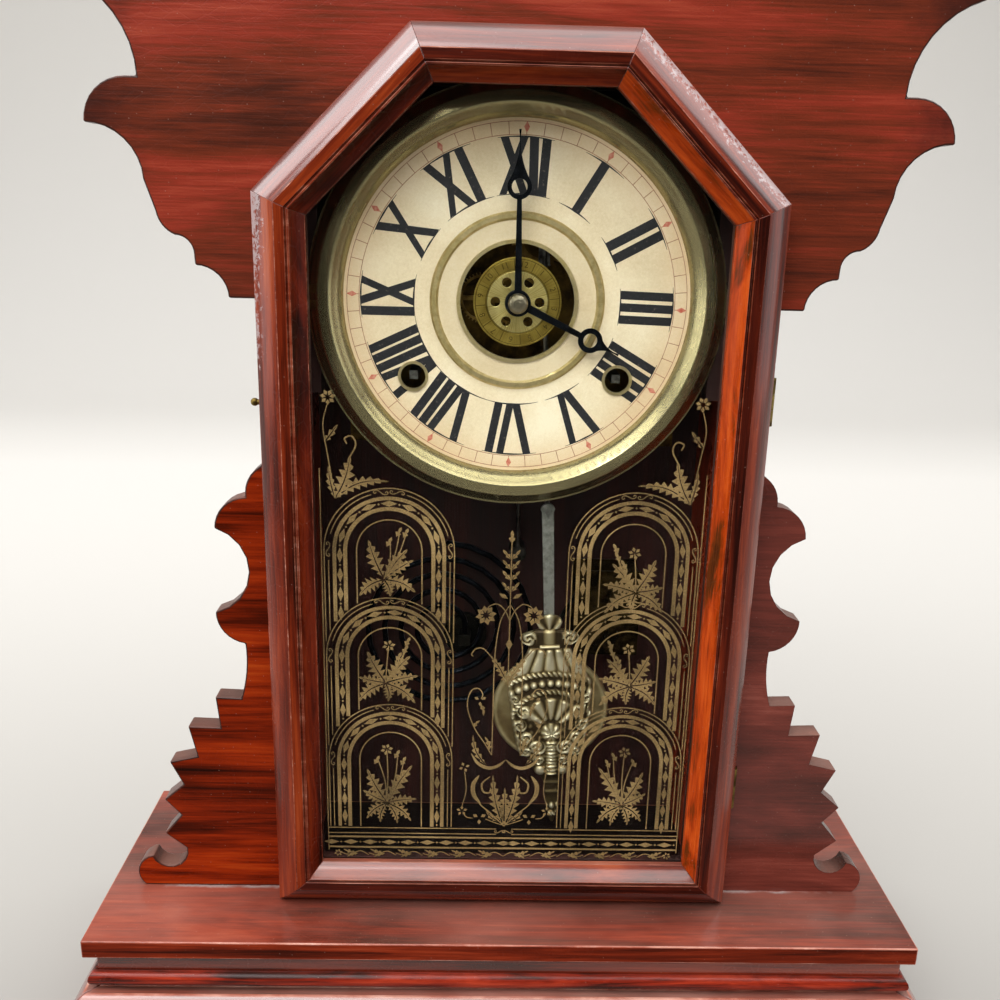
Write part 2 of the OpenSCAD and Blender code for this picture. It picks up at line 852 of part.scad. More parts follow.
module dial_eyelets() color(brass_old) dial_frame() {
    for (s = [-1, 1]) at([s * wind_x, -wind_drop]) {
        tube(wind_r + eyelet_w, wind_r, dial_set - eyelet_t, dial_set);
        tube(wind_r + eyelet_t, wind_r, dial_set, flange_y);
    }
    tube(centre_hole_d / 2 + rim_w, centre_hole_d / 2, dial_set - eyelet_t, dial_set);
    tube(centre_hole_d / 2 + eyelet_t, centre_hole_d / 2, dial_set, flange_y);
    turned([
        [ring_d / 2 - ring_w / 2, dial_set],
        [ring_d / 2 - ring_w / 4, dial_set - ring_h],
        [ring_d / 2 + ring_w / 4, dial_set - ring_h],
        [ring_d / 2 + ring_w / 2, dial_set]
    ]);
}

module dial_screws() color(brass_old) dial_frame() dial_screw_spots() {
    bar(dial_screw_r, flange_y, batten_y + 5);
    bar(1.6 * dial_screw_r, flange_y - 1, flange_y);
}

// Hands: a tapered stem, an open ring and a drawn-out point
module hand_shape(length, ring_at, ring_r, hole_r, base_w, neck_w, bore) difference() {
    union() {
        circle(boss_r);
        polygon([
            [-base_w / 2, 0],
            [base_w / 2, 0],
            [neck_w / 2, ring_at - ring_r + 0.5],
            [-neck_w / 2, ring_at - ring_r + 0.5]
        ]);
        translate([0, ring_at]) circle(ring_r);
        polygon(outline([
            [0.85 * ring_r, ring_at + 0.5 * ring_r, -1.6],
            [0.5, length, 0],
            [-0.5, length, -1.6],
            [-0.85 * ring_r, ring_at + 0.5 * ring_r, 0]
        ]));
    }
    translate([0, ring_at]) circle(hole_r);
    circle(bore);
}

module minute_hand() color(steel_dark) dial_frame() rotate([0, minute_angle, 0])
    slab(minute_hand_y, hand_t)
        hand_shape(minute_len, minute_len - 21.4, 4.9, 3.1, 3.1, 1.9, minute_r);

module hour_hand() color(steel_dark) dial_frame() rotate([0, hour_angle, 0])
    slab(hour_hand_y, hand_t)
        hand_shape(hour_len, hour_len - 13.3, 5.1, 2.9, 3.4, 2.3, hour_pipe_r);

module hand_nut() color(brass_old) dial_frame() turned([
    [minute_r, minute_hand_y],
    [nut_r, minute_hand_y],
    [nut_r, minute_hand_y - 0.4 * nut_h],
    [0.8 * nut_r, minute_hand_y - 0.75 * nut_h],
    [0.4 * nut_r, minute_hand_y - nut_h],
    [0.9, minute_hand_y - nut_h],
    [0.9, minute_hand_y - nut_h - 0.8],
    [0, minute_hand_y - nut_h - 0.8],
    [0, arbor_tip_y],
    [minute_r, arbor_tip_y]
]);

module alarm_disc() color(brass_bright) dial_frame() {
    slab(alarm_disc_y, 1) difference() {
        circle(alarm_disc_d / 2);
        circle(hour_pipe_r + play);
        for (i = [0 : 5]) rotate(60 * i + 30) translate([0, 0.5 * alarm_disc_d / 2]) circle(2);
    }
    tube(hour_pipe_r + 1.8, hour_pipe_r + play, alarm_disc_y + 1, alarm_disc_y + 6);
}

// Motion work: cannon pinion, minute wheel and hour wheel give twelve to one
module cannon_pinion() color(steel_grey) dial_frame() {
    bar(minute_r, arbor_tip_y, back_y - 1);
    bar(pivot_r, back_y - 1, back_out + 0.5);
    lantern(cannon_n, minute_mod, 180, minute_wheel_y - 1, 3.4, minute_r, 0);
}

module minute_wheel() color(brass_bright) dial_frame() at(minute_stud) {
    wheel(minute_n, minute_mod, 180 / minute_n, minute_wheel_y, wheel_t, pivot_r + 0.2 + play);
    lantern(minute_pinion_n, hour_mod, 0, hour_wheel_y - 1, 3.6, 1.9, pivot_r + 0.2 + play);
    tube(2.2, pivot_r + 0.2 + play, hour_wheel_y + 2.6, minute_wheel_y);
}

module hour_wheel() color(brass_bright) dial_frame() {
    wheel(hour_n, hour_mod, 180 + 180 / hour_n, hour_wheel_y, 1.5, hour_pipe_r);
    tube(hour_pipe_r, minute_r + play, hour_hand_y, hour_wheel_y + 1.5);
}

// Movement: two brass plates held apart by pillars
module plate_outline() polygon([
    [-movement_half_w, plate_low],
    [movement_half_w, plate_low],
    [movement_half_w, plate_high],
    [tab_half + 6, plate_high],
    [tab_half, tab_high],
    [-tab_half, tab_high],
    [-tab_half - 6, plate_high],
    [-movement_half_w, plate_high]
]);

module pivot_holes(centre_r) {
    circle(centre_r + play);
    for (t = [time_train, strike_train]) {
        translate(t[0]) circle(wind_arbor_r + play);
        for (i = [1 : 3]) translate(t[i]) circle(pivot_r + play);
    }
    translate(hammer_at) circle(pivot_r + play);
}

module pillar_spots() for (s = [-1, 1], z = pillar_zs) at([s * pillar_x, z]) children();

module screw_spots() for (s = [-1, 1], z = screw_zs) at([s * screw_x, z]) children();

module stud(p, r, y) at(p) bar(r, y, movement_set);

module front_plate() color(brass_bright) dial_frame() {
    slab(movement_set, movement_plate_t) difference() {
        plate_outline();
        pivot_holes(minute_r);
        for (s = [-1, 1], z = pillar_zs) translate([s * pillar_x, z]) circle(pillar_r / 2);
    }
    stud(minute_stud, pivot_r + 0.2, hour_wheel_y - 1.6);
    stud(verge_at, pivot_r, crutch_y - 0.4);
    stud([pend_x, pend_rise], pivot_r + 0.2, pend_set - 3);
    at([pend_x, pend_rise]) {
        bar(2.4, pend_set - 3.6, pend_set - 2.6);
        bar(3, pend_set + 2.2, movement_set);
    }
}

module back_plate() color(brass_bright) dial_frame() slab(back_y, movement_plate_t) difference() {
    plate_outline();
    pivot_holes(pivot_r);
    for (s = [-1, 1], z = pillar_zs) translate([s * pillar_x, z]) circle(pillar_r / 2);
    for (s = [-1, 1], z = screw_zs) translate([s * screw_x, z]) circle(screw_r);
}

module plate_pillars() color(steel_grey) dial_frame() pillar_spots() {
    bar(pillar_r, front_in, back_y);
    bar(pillar_r / 2, movement_set - 0.6, back_out);
}

module movement_screws() color(steel_grey) dial_frame() screw_spots() {
    bar(screw_r, back_y, case_depth - 1.5);
    bar(screw_head_r, back_y - screw_head_t, back_y);
}

// Winding arbor: square for the key, ratchet inside
module winding_arbor(t) at(t[0]) {
    translate([0, (square_y + movement_set - 1) / 2, 0])
        cube([square_w, movement_set - 1 - square_y, square_w], center = true);
    bar(wind_arbor_r, movement_set - 1, back_out + 0.5);
    bar(wind_arbor_r + 0.7, spring_y, spring_y + spring_t);
    slab(ratchet_y, ratchet_t) polygon([for (i = [0 : ratchet_n - 1], m = [0, 1])
        let (a = 360 * (i + 0.9 * m) / ratchet_n, r = m == 0 ? 6.6 : 8) [r * cos(a), r * sin(a)]]);
}

// Main wheel with its click standing just clear of the ratchet
module main_wheel(t, a) at(t[0]) {
    wheel(main_n, main_mod, a + 180 / main_n, main_y, main_t, wind_arbor_r + play);
    at([0, 14.5]) bar(1.2, ratchet_y, main_y);
    slab(ratchet_y, ratchet_t) difference() {
        translate([-1.5, 8.4]) square([3, 7.5]);
        circle(8.4);
    }
}

// An arbor with its lantern pinion and its wheel
module arbor_wheel(p, from, n, mod, a, pinion_mod, pinion_a, wheel_y, pinion_y) at(p) {
    bar(pivot_r, from, back_out + 0.4);
    lantern(pinion_n, pinion_mod, pinion_a + 180, pinion_y, pinion_len, pivot_r, 0);
    wheel(n, mod, a + 180 / n, wheel_y, wheel_t, pivot_r);
}

module second_wheel(t, angles) arbor_wheel(t[1], movement_set - 0.4, second_n, second_mod, angles[1],
    main_mod, angles[0], second_y, second_pinion_y);

module third_wheel(t, angles) arbor_wheel(t[2], movement_set - 0.4, third_n, third_mod, angles[2],
    second_mod, angles[1], third_y, third_pinion_y);

module spring_coil(t, side) at(t[0]) {
    a = atan2(pillar_zs[0] - t[0][1], side * pillar_x - t[0][0]);
    steps = 18 * spring_turns;
    grow = (spring_out_r - spring_in_r) / steps;
    hook = norm([side * pillar_x, pillar_zs[0]] - t[0]) - pillar_r;
    edge = [for (i = [0 : steps]) [spring_in_r + grow * i, a + side * 20 * (i - steps)]];
    slab(spring_y, spring_t) {
        polygon(concat(
            [for (e = edge) [e[0] * cos(e[1]), e[0] * sin(e[1])]],
            [for (i = [steps : -1 : 0]) let (e = edge[i], r = e[0] + spring_w) [r * cos(e[1]), r * sin(e[1])]]
        ));
        rotate(a) translate([spring_out_r, -spring_w / 2]) square([hook - spring_out_r, spring_w]);
    }
}

module mainsprings() color(steel_grey) dial_frame() {
    spring_coil(time_train, 1);
    spring_coil(strike_train, -1);
}

module time_arbor() color(steel_grey) dial_frame() winding_arbor(time_train);

module time_main_wheel() color(brass_bright) dial_frame() main_wheel(time_train, time_angles[0]);

module time_second_wheel() color(brass_bright) dial_frame() second_wheel(time_train, time_angles);

module time_third_wheel() color(brass_bright) dial_frame() third_wheel(time_train, time_angles);

module escape_wheel() color(brass_bright) dial_frame() at(time_train[3]) {
    bar(pivot_r, escape_y, back_out + 0.4);
    lantern(pinion_n, third_mod, time_angles[2] + 180, last_pinion_y, pinion_len, pivot_r, 0);
    slab(escape_y, wheel_t) difference() {
        polygon([for (i = [0 : escape_n - 1], m = [[0, 0], [0.75, 1], [0.9, 1]])
            let (a = 360 * (i + m[0]) / escape_n, r = escape_r - 3 + 3 * m[1]) [r * cos(a), r * sin(a)]]);
        difference() {
            circle(escape_r - 5);
            circle(3);
            square([2, 2 * escape_r], center = true);
            square([2 * escape_r, 2], center = true);
        }
    }
}

// Verge: a bent strip over the escape wheel, with the crutch round the rod
module verge() color(steel_grey) dial_frame() at(verge_at) rotate([0, -pend_tilt * verge_ratio, 0]) {
    slab(escape_y, wheel_t) difference() {
        union() {
            circle(3.2);
            polygon([
                [0, 1.6], [-13, -3.5], [-14.5, -8.5], [-13, -8.5], [-11.8, -4.8],
                [0, -1.2], [11.8, -4.8], [13, -8.5], [14.5, -8.5], [13, -3.5]
            ]);
        }
        circle(pivot_r + play);
    }
    tube(2.6, pivot_r + play, crutch_y, escape_y);
    slab(crutch_y, crutch_t) difference() {
        polygon([
            [-1.1, 0],
            [1.1, 0],
            [pend_x - verge_at[0] + 2.5, -crutch_len],
            [pend_x - verge_at[0] - 2.5, -crutch_len]
        ]);
        circle(pivot_r + play);
    }
    for (s = [-1, 1])
        at([pend_x - verge_at[0] + s * (rod_r + 0.8), -crutch_len + 0.6])
            bar(0.5, pend_set - rod_r - 1, crutch_y + 1);
}

// Pendulum: rod on its stud, bob on the hook
module pendulum_frame() dial_frame() at([pend_x, pend_rise]) rotate([0, -pend_tilt, 0]) children();

module suspension_rod() color(steel_grey) pendulum_frame() {
    tube(pivot_r + 1.6, pivot_r + 0.2 + play, pend_set - rod_r - 0.8, pend_set + rod_r + 0.8);
    translate([0, pend_set, -hook_drop]) cylinder(r = rod_r, h = hook_drop - pivot_r - 0.8);
    at([0, -hook_drop]) bar(hook_r, stem_y - 0.6, pend_set + rod_r);
}

bob_lens = open_path([
    [0, bob_y - bob_t / 2, lens_bulge],
    [bob_d / 2, bob_y - 0.4, 0],
    [bob_d / 2, bob_y + 0.4, lens_bulge],
    [0, bob_y + bob_t / 2, 0]
]);
bob_crown = [
    [0, 46, 0],
    [5, 46, 0],
    [5, 40, -1],
    [4, 36, -1.4],
    [8.5, 33, 2.2],
    [15, 27, 2],
    [13, 20, 0],
    [0, 20, 0]
];
bob_tail = [
    [0, -22, 0],
    [15, -22, 1],
    [12, -30, 2],
    [5, -37, -1],
    [2.6, -43, 0],
    [1.6, 1 - tail_len, 0],
    [0, -tail_len, 0]
];

module pendulum_bob() color(bob_silver) pendulum_frame() at([0, -hook_drop]) {
    slab(stem_y, stem_t) difference() {
        union() {
            translate([0, 0.5]) circle(stem_w * 0.62);
            polygon([
                [-stem_w / 2, 0],
                [stem_w / 2, 0],
                [stem_w / 2 - 0.4, -bob_drop + bob_d / 2 - 2],
                [-stem_w / 2 + 0.4, -bob_drop + bob_d / 2 - 2]
            ]);
        }
        circle(hook_r);
    }
    at([0, -bob_drop]) {
        turned(bob_lens);
        slab(bob_y - 0.35 * bob_t, 0.7 * bob_t) polygon(both_sides(open_path(bob_crown)));
        slab(bob_y - 0.3 * bob_t, 0.6 * bob_t) polygon(both_sides(open_path(bob_tail)));
    }
}

// Strike train
module strike_arbor() color(steel_grey) dial_frame() winding_arbor(strike_train);

module strike_main_wheel() color(brass_bright) dial_frame() main_wheel(strike_train, strike_angles[0]);

module strike_cam_wheel() color(brass_bright) dial_frame() {
    second_wheel(strike_train, strike_angles);
    for (i = [0 : 3]) at(step_from(strike_train[1], 12.6, 45 + 90 * i)) bar(0.8, second_y - 3, second_y);
    at(strike_train[1]) tube(13.6, 11.4, second_y, second_y + wheel_t);
}

module warning_wheel() color(brass_bright) dial_frame() third_wheel(strike_train, strike_angles);

module fly() color(brass_bright) dial_frame() at(strike_train[3]) {
    bar(pivot_r, movement_set - 0.4, back_out + 0.4);
    lantern(pinion_n, third_mod, strike_angles[2] + 180, last_pinion_y, pinion_len, pivot_r, 0);
    slab(last_pinion_y + pinion_len + 2, 12) union() {
        square([16, 0.8], center = true);
        circle(pivot_r + 0.8);
    }
}

module hammer() color(steel_grey) dial_frame() at(hammer_at) {
    tail = strike_train[1] - hammer_at;
    tail_len = norm(tail) - 15;
    bar(pivot_r, movement_set - 0.4, back_out + 0.4);
    bar(3, hammer_y - 5.5, hammer_y + 2);
    translate([0, hammer_y, -hammer_len]) cylinder(r = rod_r, h = hammer_len);
    at([0, -hammer_len]) bar(hammer_head_r, hammer_y - 5, hammer_y + 9);
    slab(hammer_y - 5.5, 1.5) rotate(atan2(tail[1], tail[0])) translate([0, -1]) square([tail_len, 2]);
}

// Gong: one wire wound flat and driven into an iron block
function gong_dir(i) =
    let (
        last = len(gong_path) - 1,
        d = gong_path[min(i + 1, last)] - gong_path[max(i - 1, 0)]
    ) d / norm(d);

module gong() color(steel_dark) face() translate([-gong_x, gong_y, gong_z]) {
    n = len(gong_path);
    s = gong_sides;
    points = [for (i = [0 : n - 1], k = [0 : s - 1])
        let (
            a = 360 * (k + 0.5) / s,
            dir = i < n - 2 ? gong_dir(i) : [0, -1],
            r = gong_wire / 2
        )
        [gong_path[i][0] - dir[1] * r * cos(a), r * sin(a), gong_path[i][1] + dir[0] * r * cos(a)]];
    sides = [for (i = [0 : n - 2], k = [0 : s - 1])
        let (p = i * s + k, q = i * s + (k + 1) % s) each [[p, q, q + s], [p, q + s, p + s]]];
    start = [for (k = [1 : s - 2]) [0, k + 1, k]];
    finish = [for (k = [1 : s - 2]) [(n - 1) * s, (n - 1) * s + k, (n - 1) * s + k + 1]];
    polyhedron(points, concat(sides, start, finish));
}

module gong_block() color(iron_black) face() translate([-gong_x + gong_in_r, 0, gong_z - gong_wire]) {
    translate([-gong_block_w / 2, gong_y - gong_block_w / 2, -gong_block_w])
        cube([gong_block_w, case_depth - gong_y + gong_block_w / 2, gong_block_w]);
    at([0, -gong_block_w / 2]) bar(11, case_depth - 4, case_depth);
}

// Alarm: a small frame on the back board, its wheel and its hammer
module alarm_spot() face() at([alarm_x, alarm_z]) children();

module alarm_frame() color(brass_bright) alarm_spot() {
    for (y = [alarm_front_y, case_depth - alarm_plate_t]) slab(y, alarm_plate_t) difference() {
        square([alarm_w, alarm_h], center = true);
        translate(alarm_pivot) circle(pivot_r + play);
        translate(alarm_wheel_at) circle(1.5 + play);
    }
    for (s = [-1, 1])
        at([s * (alarm_w / 2 - 3), s * (alarm_h / 2 - 3)])
            bar(2.5, alarm_front_y + alarm_plate_t, case_depth - alarm_plate_t);
}

module alarm_wheel() color(brass_bright) alarm_spot() at(alarm_wheel_at) {
    bar(1.5, alarm_front_y - 7, case_depth - 0.5);
    slab(alarm_front_y - 9, 3) {
        translate([0, 4]) circle(3.5);
        translate([0, -4]) circle(3.5);
        square([4, 6], center = true);
    }
    slab(alarm_front_y + 6, 1.4) polygon([for (i = [0 : alarm_wheel_n - 1], m = [0, 1])
        let (a = 360 * (i + 0.5 * m) / alarm_wheel_n, r = alarm_wheel_r - 1.6 * m) [r * cos(a), r * sin(a)]]);
}

module alarm_hammer() color(steel_grey) alarm_spot() {
    reach = alarm_head_at - alarm_pivot;
    at(alarm_pivot) {
        bar(pivot_r, alarm_front_y - 0.4, case_depth - 0.5);
        bar(3, gong_y - 2, gong_y + 2);
        slab(gong_y - 1, 2) rotate(atan2(reach[1], reach[0])) translate([0, -1]) square([norm(reach), 2]);
    }
    at(alarm_head_at) bar(alarm_head_r, gong_y - 4, gong_y + 4);
}

base_front();
base_returns();
base_bead();
base_plate();
back_board();
left_side();
right_side();
box_top();
crest();
left_wing();
right_wing();
case_battens();
case_hinge_leaves();
catch_bush();
gong();
gong_block();
door_left_stile();
door_right_stile();
door_bottom_rail();
door_top_rail();
door_left_diagonal();
door_right_diagonal();
door_glass();
glazing_strips();
door_hinge_leaves();
door_catch();
dial_bezel();
dial_plate();
dial_paper();
dial_eyelets();
dial_screws();
minute_hand();
hand_nut();
hour_hand();
alarm_disc();
cannon_pinion();
minute_wheel();
hour_wheel();
front_plate();
back_plate();
plate_pillars();
movement_screws();
time_arbor();
time_main_wheel();
mainsprings();
time_second_wheel();
time_third_wheel();
escape_wheel();
verge();
suspension_rod();
pendulum_bob();
strike_arbor();
strike_main_wheel();
strike_cam_wheel();
warning_wheel();
fly();
hammer();
alarm_frame();
alarm_wheel();
alarm_hammer();
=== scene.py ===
import json
from functools import partial
from math import cos, pi, radians, sin, sqrt

import bmesh
import bpy
import numpy as np
from mathutils import Matrix, Vector

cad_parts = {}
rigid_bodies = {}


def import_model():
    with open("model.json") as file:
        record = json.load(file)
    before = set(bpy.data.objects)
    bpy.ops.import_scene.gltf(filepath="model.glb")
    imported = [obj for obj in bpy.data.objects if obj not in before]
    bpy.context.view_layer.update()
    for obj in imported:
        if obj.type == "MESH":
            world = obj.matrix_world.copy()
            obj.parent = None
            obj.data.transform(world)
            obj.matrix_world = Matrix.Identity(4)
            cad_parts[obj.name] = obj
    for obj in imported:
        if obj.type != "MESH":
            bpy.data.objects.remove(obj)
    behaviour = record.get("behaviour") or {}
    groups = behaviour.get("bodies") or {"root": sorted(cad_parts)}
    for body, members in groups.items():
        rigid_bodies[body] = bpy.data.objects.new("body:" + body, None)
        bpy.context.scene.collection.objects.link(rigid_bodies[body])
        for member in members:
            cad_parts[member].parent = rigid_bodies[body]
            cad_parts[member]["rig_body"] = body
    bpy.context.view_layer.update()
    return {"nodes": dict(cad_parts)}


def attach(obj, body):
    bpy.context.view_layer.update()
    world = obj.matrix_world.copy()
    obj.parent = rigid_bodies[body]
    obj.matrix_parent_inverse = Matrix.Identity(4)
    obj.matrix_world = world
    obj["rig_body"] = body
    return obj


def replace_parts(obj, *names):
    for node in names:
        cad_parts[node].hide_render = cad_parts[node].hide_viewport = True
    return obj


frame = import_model()

# Base: a hollow foot of moulded boards, mitred at the front corners, with a half-round bead
# under a flat plate. Planed softwood, glued and nailed, stained red and coated with shellac.
# The crest's front stands at the depth FACE and the plate's top at the height FLOOR, in mm.
FACE = -16.5
FLOOR = 55.0


def linear(code):
    """The linear colour of an sRGB hex value."""
    parts = [int(code[i:i + 2], 16) / 255 for i in (1, 3, 5)]
    return tuple(c / 12.92 if c <= 0.04045 else ((c + 0.055) / 1.055) ** 2.4 for c in parts) + (1.0,)


def feed(node, *ordered, **named):
    """Sets a node's sockets, in order or by name, to values or sRGB hex colours, or links them to
    nodes or sockets."""
    named = {name.replace("_", " "): value for name, value in named.items()}
    for key, value in [*enumerate(ordered), *named.items()]:
        if isinstance(value, bpy.types.Node):
            value = next(o for o in value.outputs if o.enabled)
        if isinstance(value, bpy.types.NodeSocket):
            node.id_data.links.new(value, node.inputs[key])
        else:
            node.inputs[key].default_value = linear(value) if isinstance(value, str) else value
    return node


def put(tree, kind, *ordered, stops=(), **named):
    """A new node of a kind, with its operation after a point: what goes into its sockets, in
    order or by name, the stops of a ramp, and settings, which are named in small letters."""
    kind, _, operation = kind.partition(".")
    families = [family + "Node" for family in ("Shader", "Geometry", "Function", "")]
    node = tree.nodes.new(next(f + kind for f in families if hasattr(bpy.types, f + kind)))
    if operation:
        node.operation = operation
    for name in [name for name in named if name.islower()]:
        setattr(node, name, named.pop(name))
    for i, (place, colour) in enumerate(stops):
        stop = node.color_ramp.elements[i] if i < 2 else node.color_ramp.elements.new(place)
        stop.position = place
        stop.color = linear(colour) if isinstance(colour, str) else (colour, colour, colour, 1)
    return feed(node, *ordered, **named)


def finish(name, **constants):
    """A new material, what adds nodes to it, and its shader with the shader's own fixed values."""
    material = bpy.data.materials.new(name)
    material.use_nodes = True
    shader = material.node_tree.nodes["Principled BSDF"]
    return material, partial(put, material.node_tree), feed(shader, **constants)


def grain(add, lie, kind, along, across, through, **named):
    """A pattern whose cells are so many mm long, wide and deep in the grain of the wood."""
    lie = add("Mapping", Vector=lie, Scale=(1000 / along, 1000 / through, 1000 / across))
    return add(kind, Vector=lie, Scale=1.0, **named)


def stained_wood(name, turn, seed, stops, streak=(190, 12), grime=0.5, gloss=0.06, marks=None,
                 ior=1.27, film=1.7):
    """Red-stained wood under old shellac: black-brown streaks along the grain, fine fibres, a gloss
    that has crazed into small scales, and a pale grey on what faces up: dust and painted sheen."""
    material, add, shader = finish(name, IOR=ior, Coat_Weight=gloss, Coat_Roughness=0.16,
                                   Coat_IOR=film)
    where = add("TexCoord")
    lie = add("Mapping", Vector=where.outputs["Object"], Rotation=turn,
              Location=(seed, 0.41 * seed, 0.13 * seed))
    streaks = grain(add, lie, "TexNoise", *streak, 22, Detail=5.0, Roughness=0.62, Distortion=0.7)
    fibres = grain(add, lie, "TexNoise", 38, 1.1, 1.4, Detail=3.0, Roughness=0.7)
    patches = grain(add, lie, "TexNoise", 110, 34, 50, Detail=4.0, Roughness=0.6)
    mixed = add("Math.MULTIPLY_ADD", fibres, 0.36, streaks)
    mixed = add("Math.MULTIPLY_ADD", patches, 0.42, mixed)
    mixed = add("Math.SUBTRACT", mixed, 0.13)
    stain = add("ValToRGB", mixed, stops=stops)
    scales = grain(add, lie, "TexVoronoi", 7, 4.2, 5, feature="DISTANCE_TO_EDGE")
    crazing = add("ValToRGB", scales, stops=[(0.0, 1.0), (0.07, 0.0)])
    crazing = add("Math.MULTIPLY", crazing, patches)
    specks = add("TexVoronoi", Vector=lie, Scale=1000 / 3.4)
    specks = add("ValToRGB", specks, stops=[(0.03, 0.5), (0.075, 0.0)])
    worn = add("MixRGB", specks, stain, "#b08b7c")
    # Partly dust and partly painted sheen: a pale grey mixed onto faces that turn up.
    up = add("SeparateXYZ", where.outputs["Normal"]).outputs["Z"]
    up = add("ValToRGB", up, stops=[(0.55, 0.0), (0.95, 1.0)])
    dust = add("ValToRGB", patches, stops=[(0.32, 0.2), (0.7, 1.0)])
    dust = add("Math.MULTIPLY", dust, up)
    dust = add("Math.MULTIPLY", dust, grime)
    colour = add("MixRGB", dust, worn, "#9a7468")
    if marks:
        colour = marks(add, where.outputs["Object"], colour)
    dull = add("Math.MULTIPLY_ADD", patches, 0.22, 0.17)
    dull = add("Math.MULTIPLY_ADD", dust, 0.3, dull)
    dull = add("Math.MULTIPLY_ADD", crazing, 0.12, dull)
    relief = add("Math.MULTIPLY_ADD", crazing, -0.35, fibres)
    bump = add("Bump", Strength=0.28, Distance=0.00035, Height=relief)
    feed(shader, Base_Color=colour, Roughness=dull, Normal=bump)
    return material


LEVEL = (0, 0, 0)
UPRIGHT = (0, radians(90), 0)
DEEP = (0, 0, radians(-90))
RED_STAIN = [(0.5, "#1c0703"), (0.63, "#441205"), (0.76, "#6b1f0b"), (0.88, "#8a2e14"),
             (1.0, "#9e4225")]
BASE_STAIN = [(0.5, "#260a05"), (0.63, "#551909"), (0.76, "#7c2813"), (0.88, "#99391e"),
              (1.0, "#ac4f33")]
BOX_HALF = 0.0925
BOX_DEPTH = (0.017, 0.0375)
WING_FOOT = (0.132, 0.03)
DRIFT_BACK, DRIFT_WIDE = 0.0166, 0.004


def plate_dirt(add, where, colour):
    """Painted shade on the wood inside the box, and grey dust swept against the feet of the wings."""
    parts = add("SeparateXYZ", where).outputs
    wide = add("Math.COMPARE", parts["X"], 0.0, BOX_HALF)
    deep = add("Math.COMPARE", parts["Y"], *BOX_DEPTH)
    inside = add("Math.MULTIPLY", wide, deep)
    # Painted shade: the plate's top inside the box is darkened to near black.
    colour = add("MixRGB", inside, colour, "#0d0605")
    drift = add("TexNoise", Vector=where, Scale=1000 / 7, Detail=5.0, Roughness=0.7)
    off = add("Math.ADD", parts["Y"], DRIFT_BACK)
    off = add("Math.MULTIPLY_ADD", off, -1 / DRIFT_WIDE, drift)
    dust = add("ValToRGB", off, stops=[(0.38, 0.0), (0.52, 0.7), (0.62, 0.7), (1.0, 0.0)])
    span = add("Math.COMPARE", add("Math.ABSOLUTE", parts["X"]), *WING_FOOT)
    gaps = add("TexNoise", Vector=where, Scale=1000 / 16, Detail=4.0)
    gaps = add("ValToRGB", gaps, stops=[(0.42, 0.0), (0.6, 1.0)])
    dust = add("Math.MULTIPLY", dust, span)
    dust = add("Math.MULTIPLY", dust, gaps)
    return add("MixRGB", dust, colour, "#a99c98")


base_wood = stained_wood("red_stained_base_wood", LEVEL, 0.31, BASE_STAIN, grime=1.0, gloss=1.0)
plate_wood = stained_wood("red_stained_plate_wood", LEVEL, 0.83, RED_STAIN, grime=0.38, gloss=0.8,
                          marks=plate_dirt)
return_wood = stained_wood("red_stained_return_wood", DEEP, 1.7, RED_STAIN, grime=0.8, gloss=1.0)
edge_wood = stained_wood("red_stained_edge_wood", LEVEL, 1.1, RED_STAIN, (120, 5), gloss=0.02,
                         ior=1.14)
# Painted shade: a near-black stain for the recess under the plate's overhang, standing in for the shade
# there.
recess_wood = stained_wood("shade_dark_recess_wood", LEVEL, 2.9, [
    (0.5, "#0c0403"), (0.7, "#1d0906"), (0.85, "#37110a"), (1.0, "#571c0f")],
    (60, 4), 0.06, 0.0, ior=1.1)
# Rubbed arrises: pale wear along the edges, with a painted highlight in the palest tones.
worn_highlit_wood = stained_wood("rubbed_highlit_arris_wood", LEVEL, 4.4, [
    (0.55, "#7a3424"), (0.7, "#a4543f"), (0.88, "#c98a76"), (1.0, "#e0b8aa")], (25, 6), gloss=0.4)


def shown(name, data):
    """A new object in the scene; a bmesh becomes a mesh first."""
    if isinstance(data, bmesh.types.BMesh):
        shape, data = data, bpy.data.meshes.new(name)
        shape.to_mesh(data)
        shape.free()
    thing = bpy.data.objects.new(name, data)
    bpy.context.scene.collection.objects.link(thing)
    return thing


def meshed(thing):
    """A plain mesh of an object, with its modifiers worked in."""
    graph = bpy.context.evaluated_depsgraph_get()
    return bpy.data.meshes.new_from_object(thing.evaluated_get(graph), depsgraph=graph)


def settled(piece):
    """Works a piece's modifiers into its mesh."""
    mesh = meshed(piece)
    piece.modifiers.clear()
    piece.data = mesh


def riding(piece, body):
    """The settled piece on a body."""
    settled(piece)
    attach(piece, body)
    return piece


def placed(name, shape, materials, body):
    """A bmesh made a smooth-shaded piece that rides on a body and takes a slot's finish."""
    piece = shown(name, shape)
    for material in materials:
        piece.data.materials.append(material)
    piece.data.polygons.foreach_set("use_smooth", [True] * len(piece.data.polygons))
    piece.data.set_sharp_from_angle(angle=radians(50))
    piece.modifiers.new("flat_faces", "WEIGHTED_NORMAL").keep_sharp = True
    return riding(piece, body)


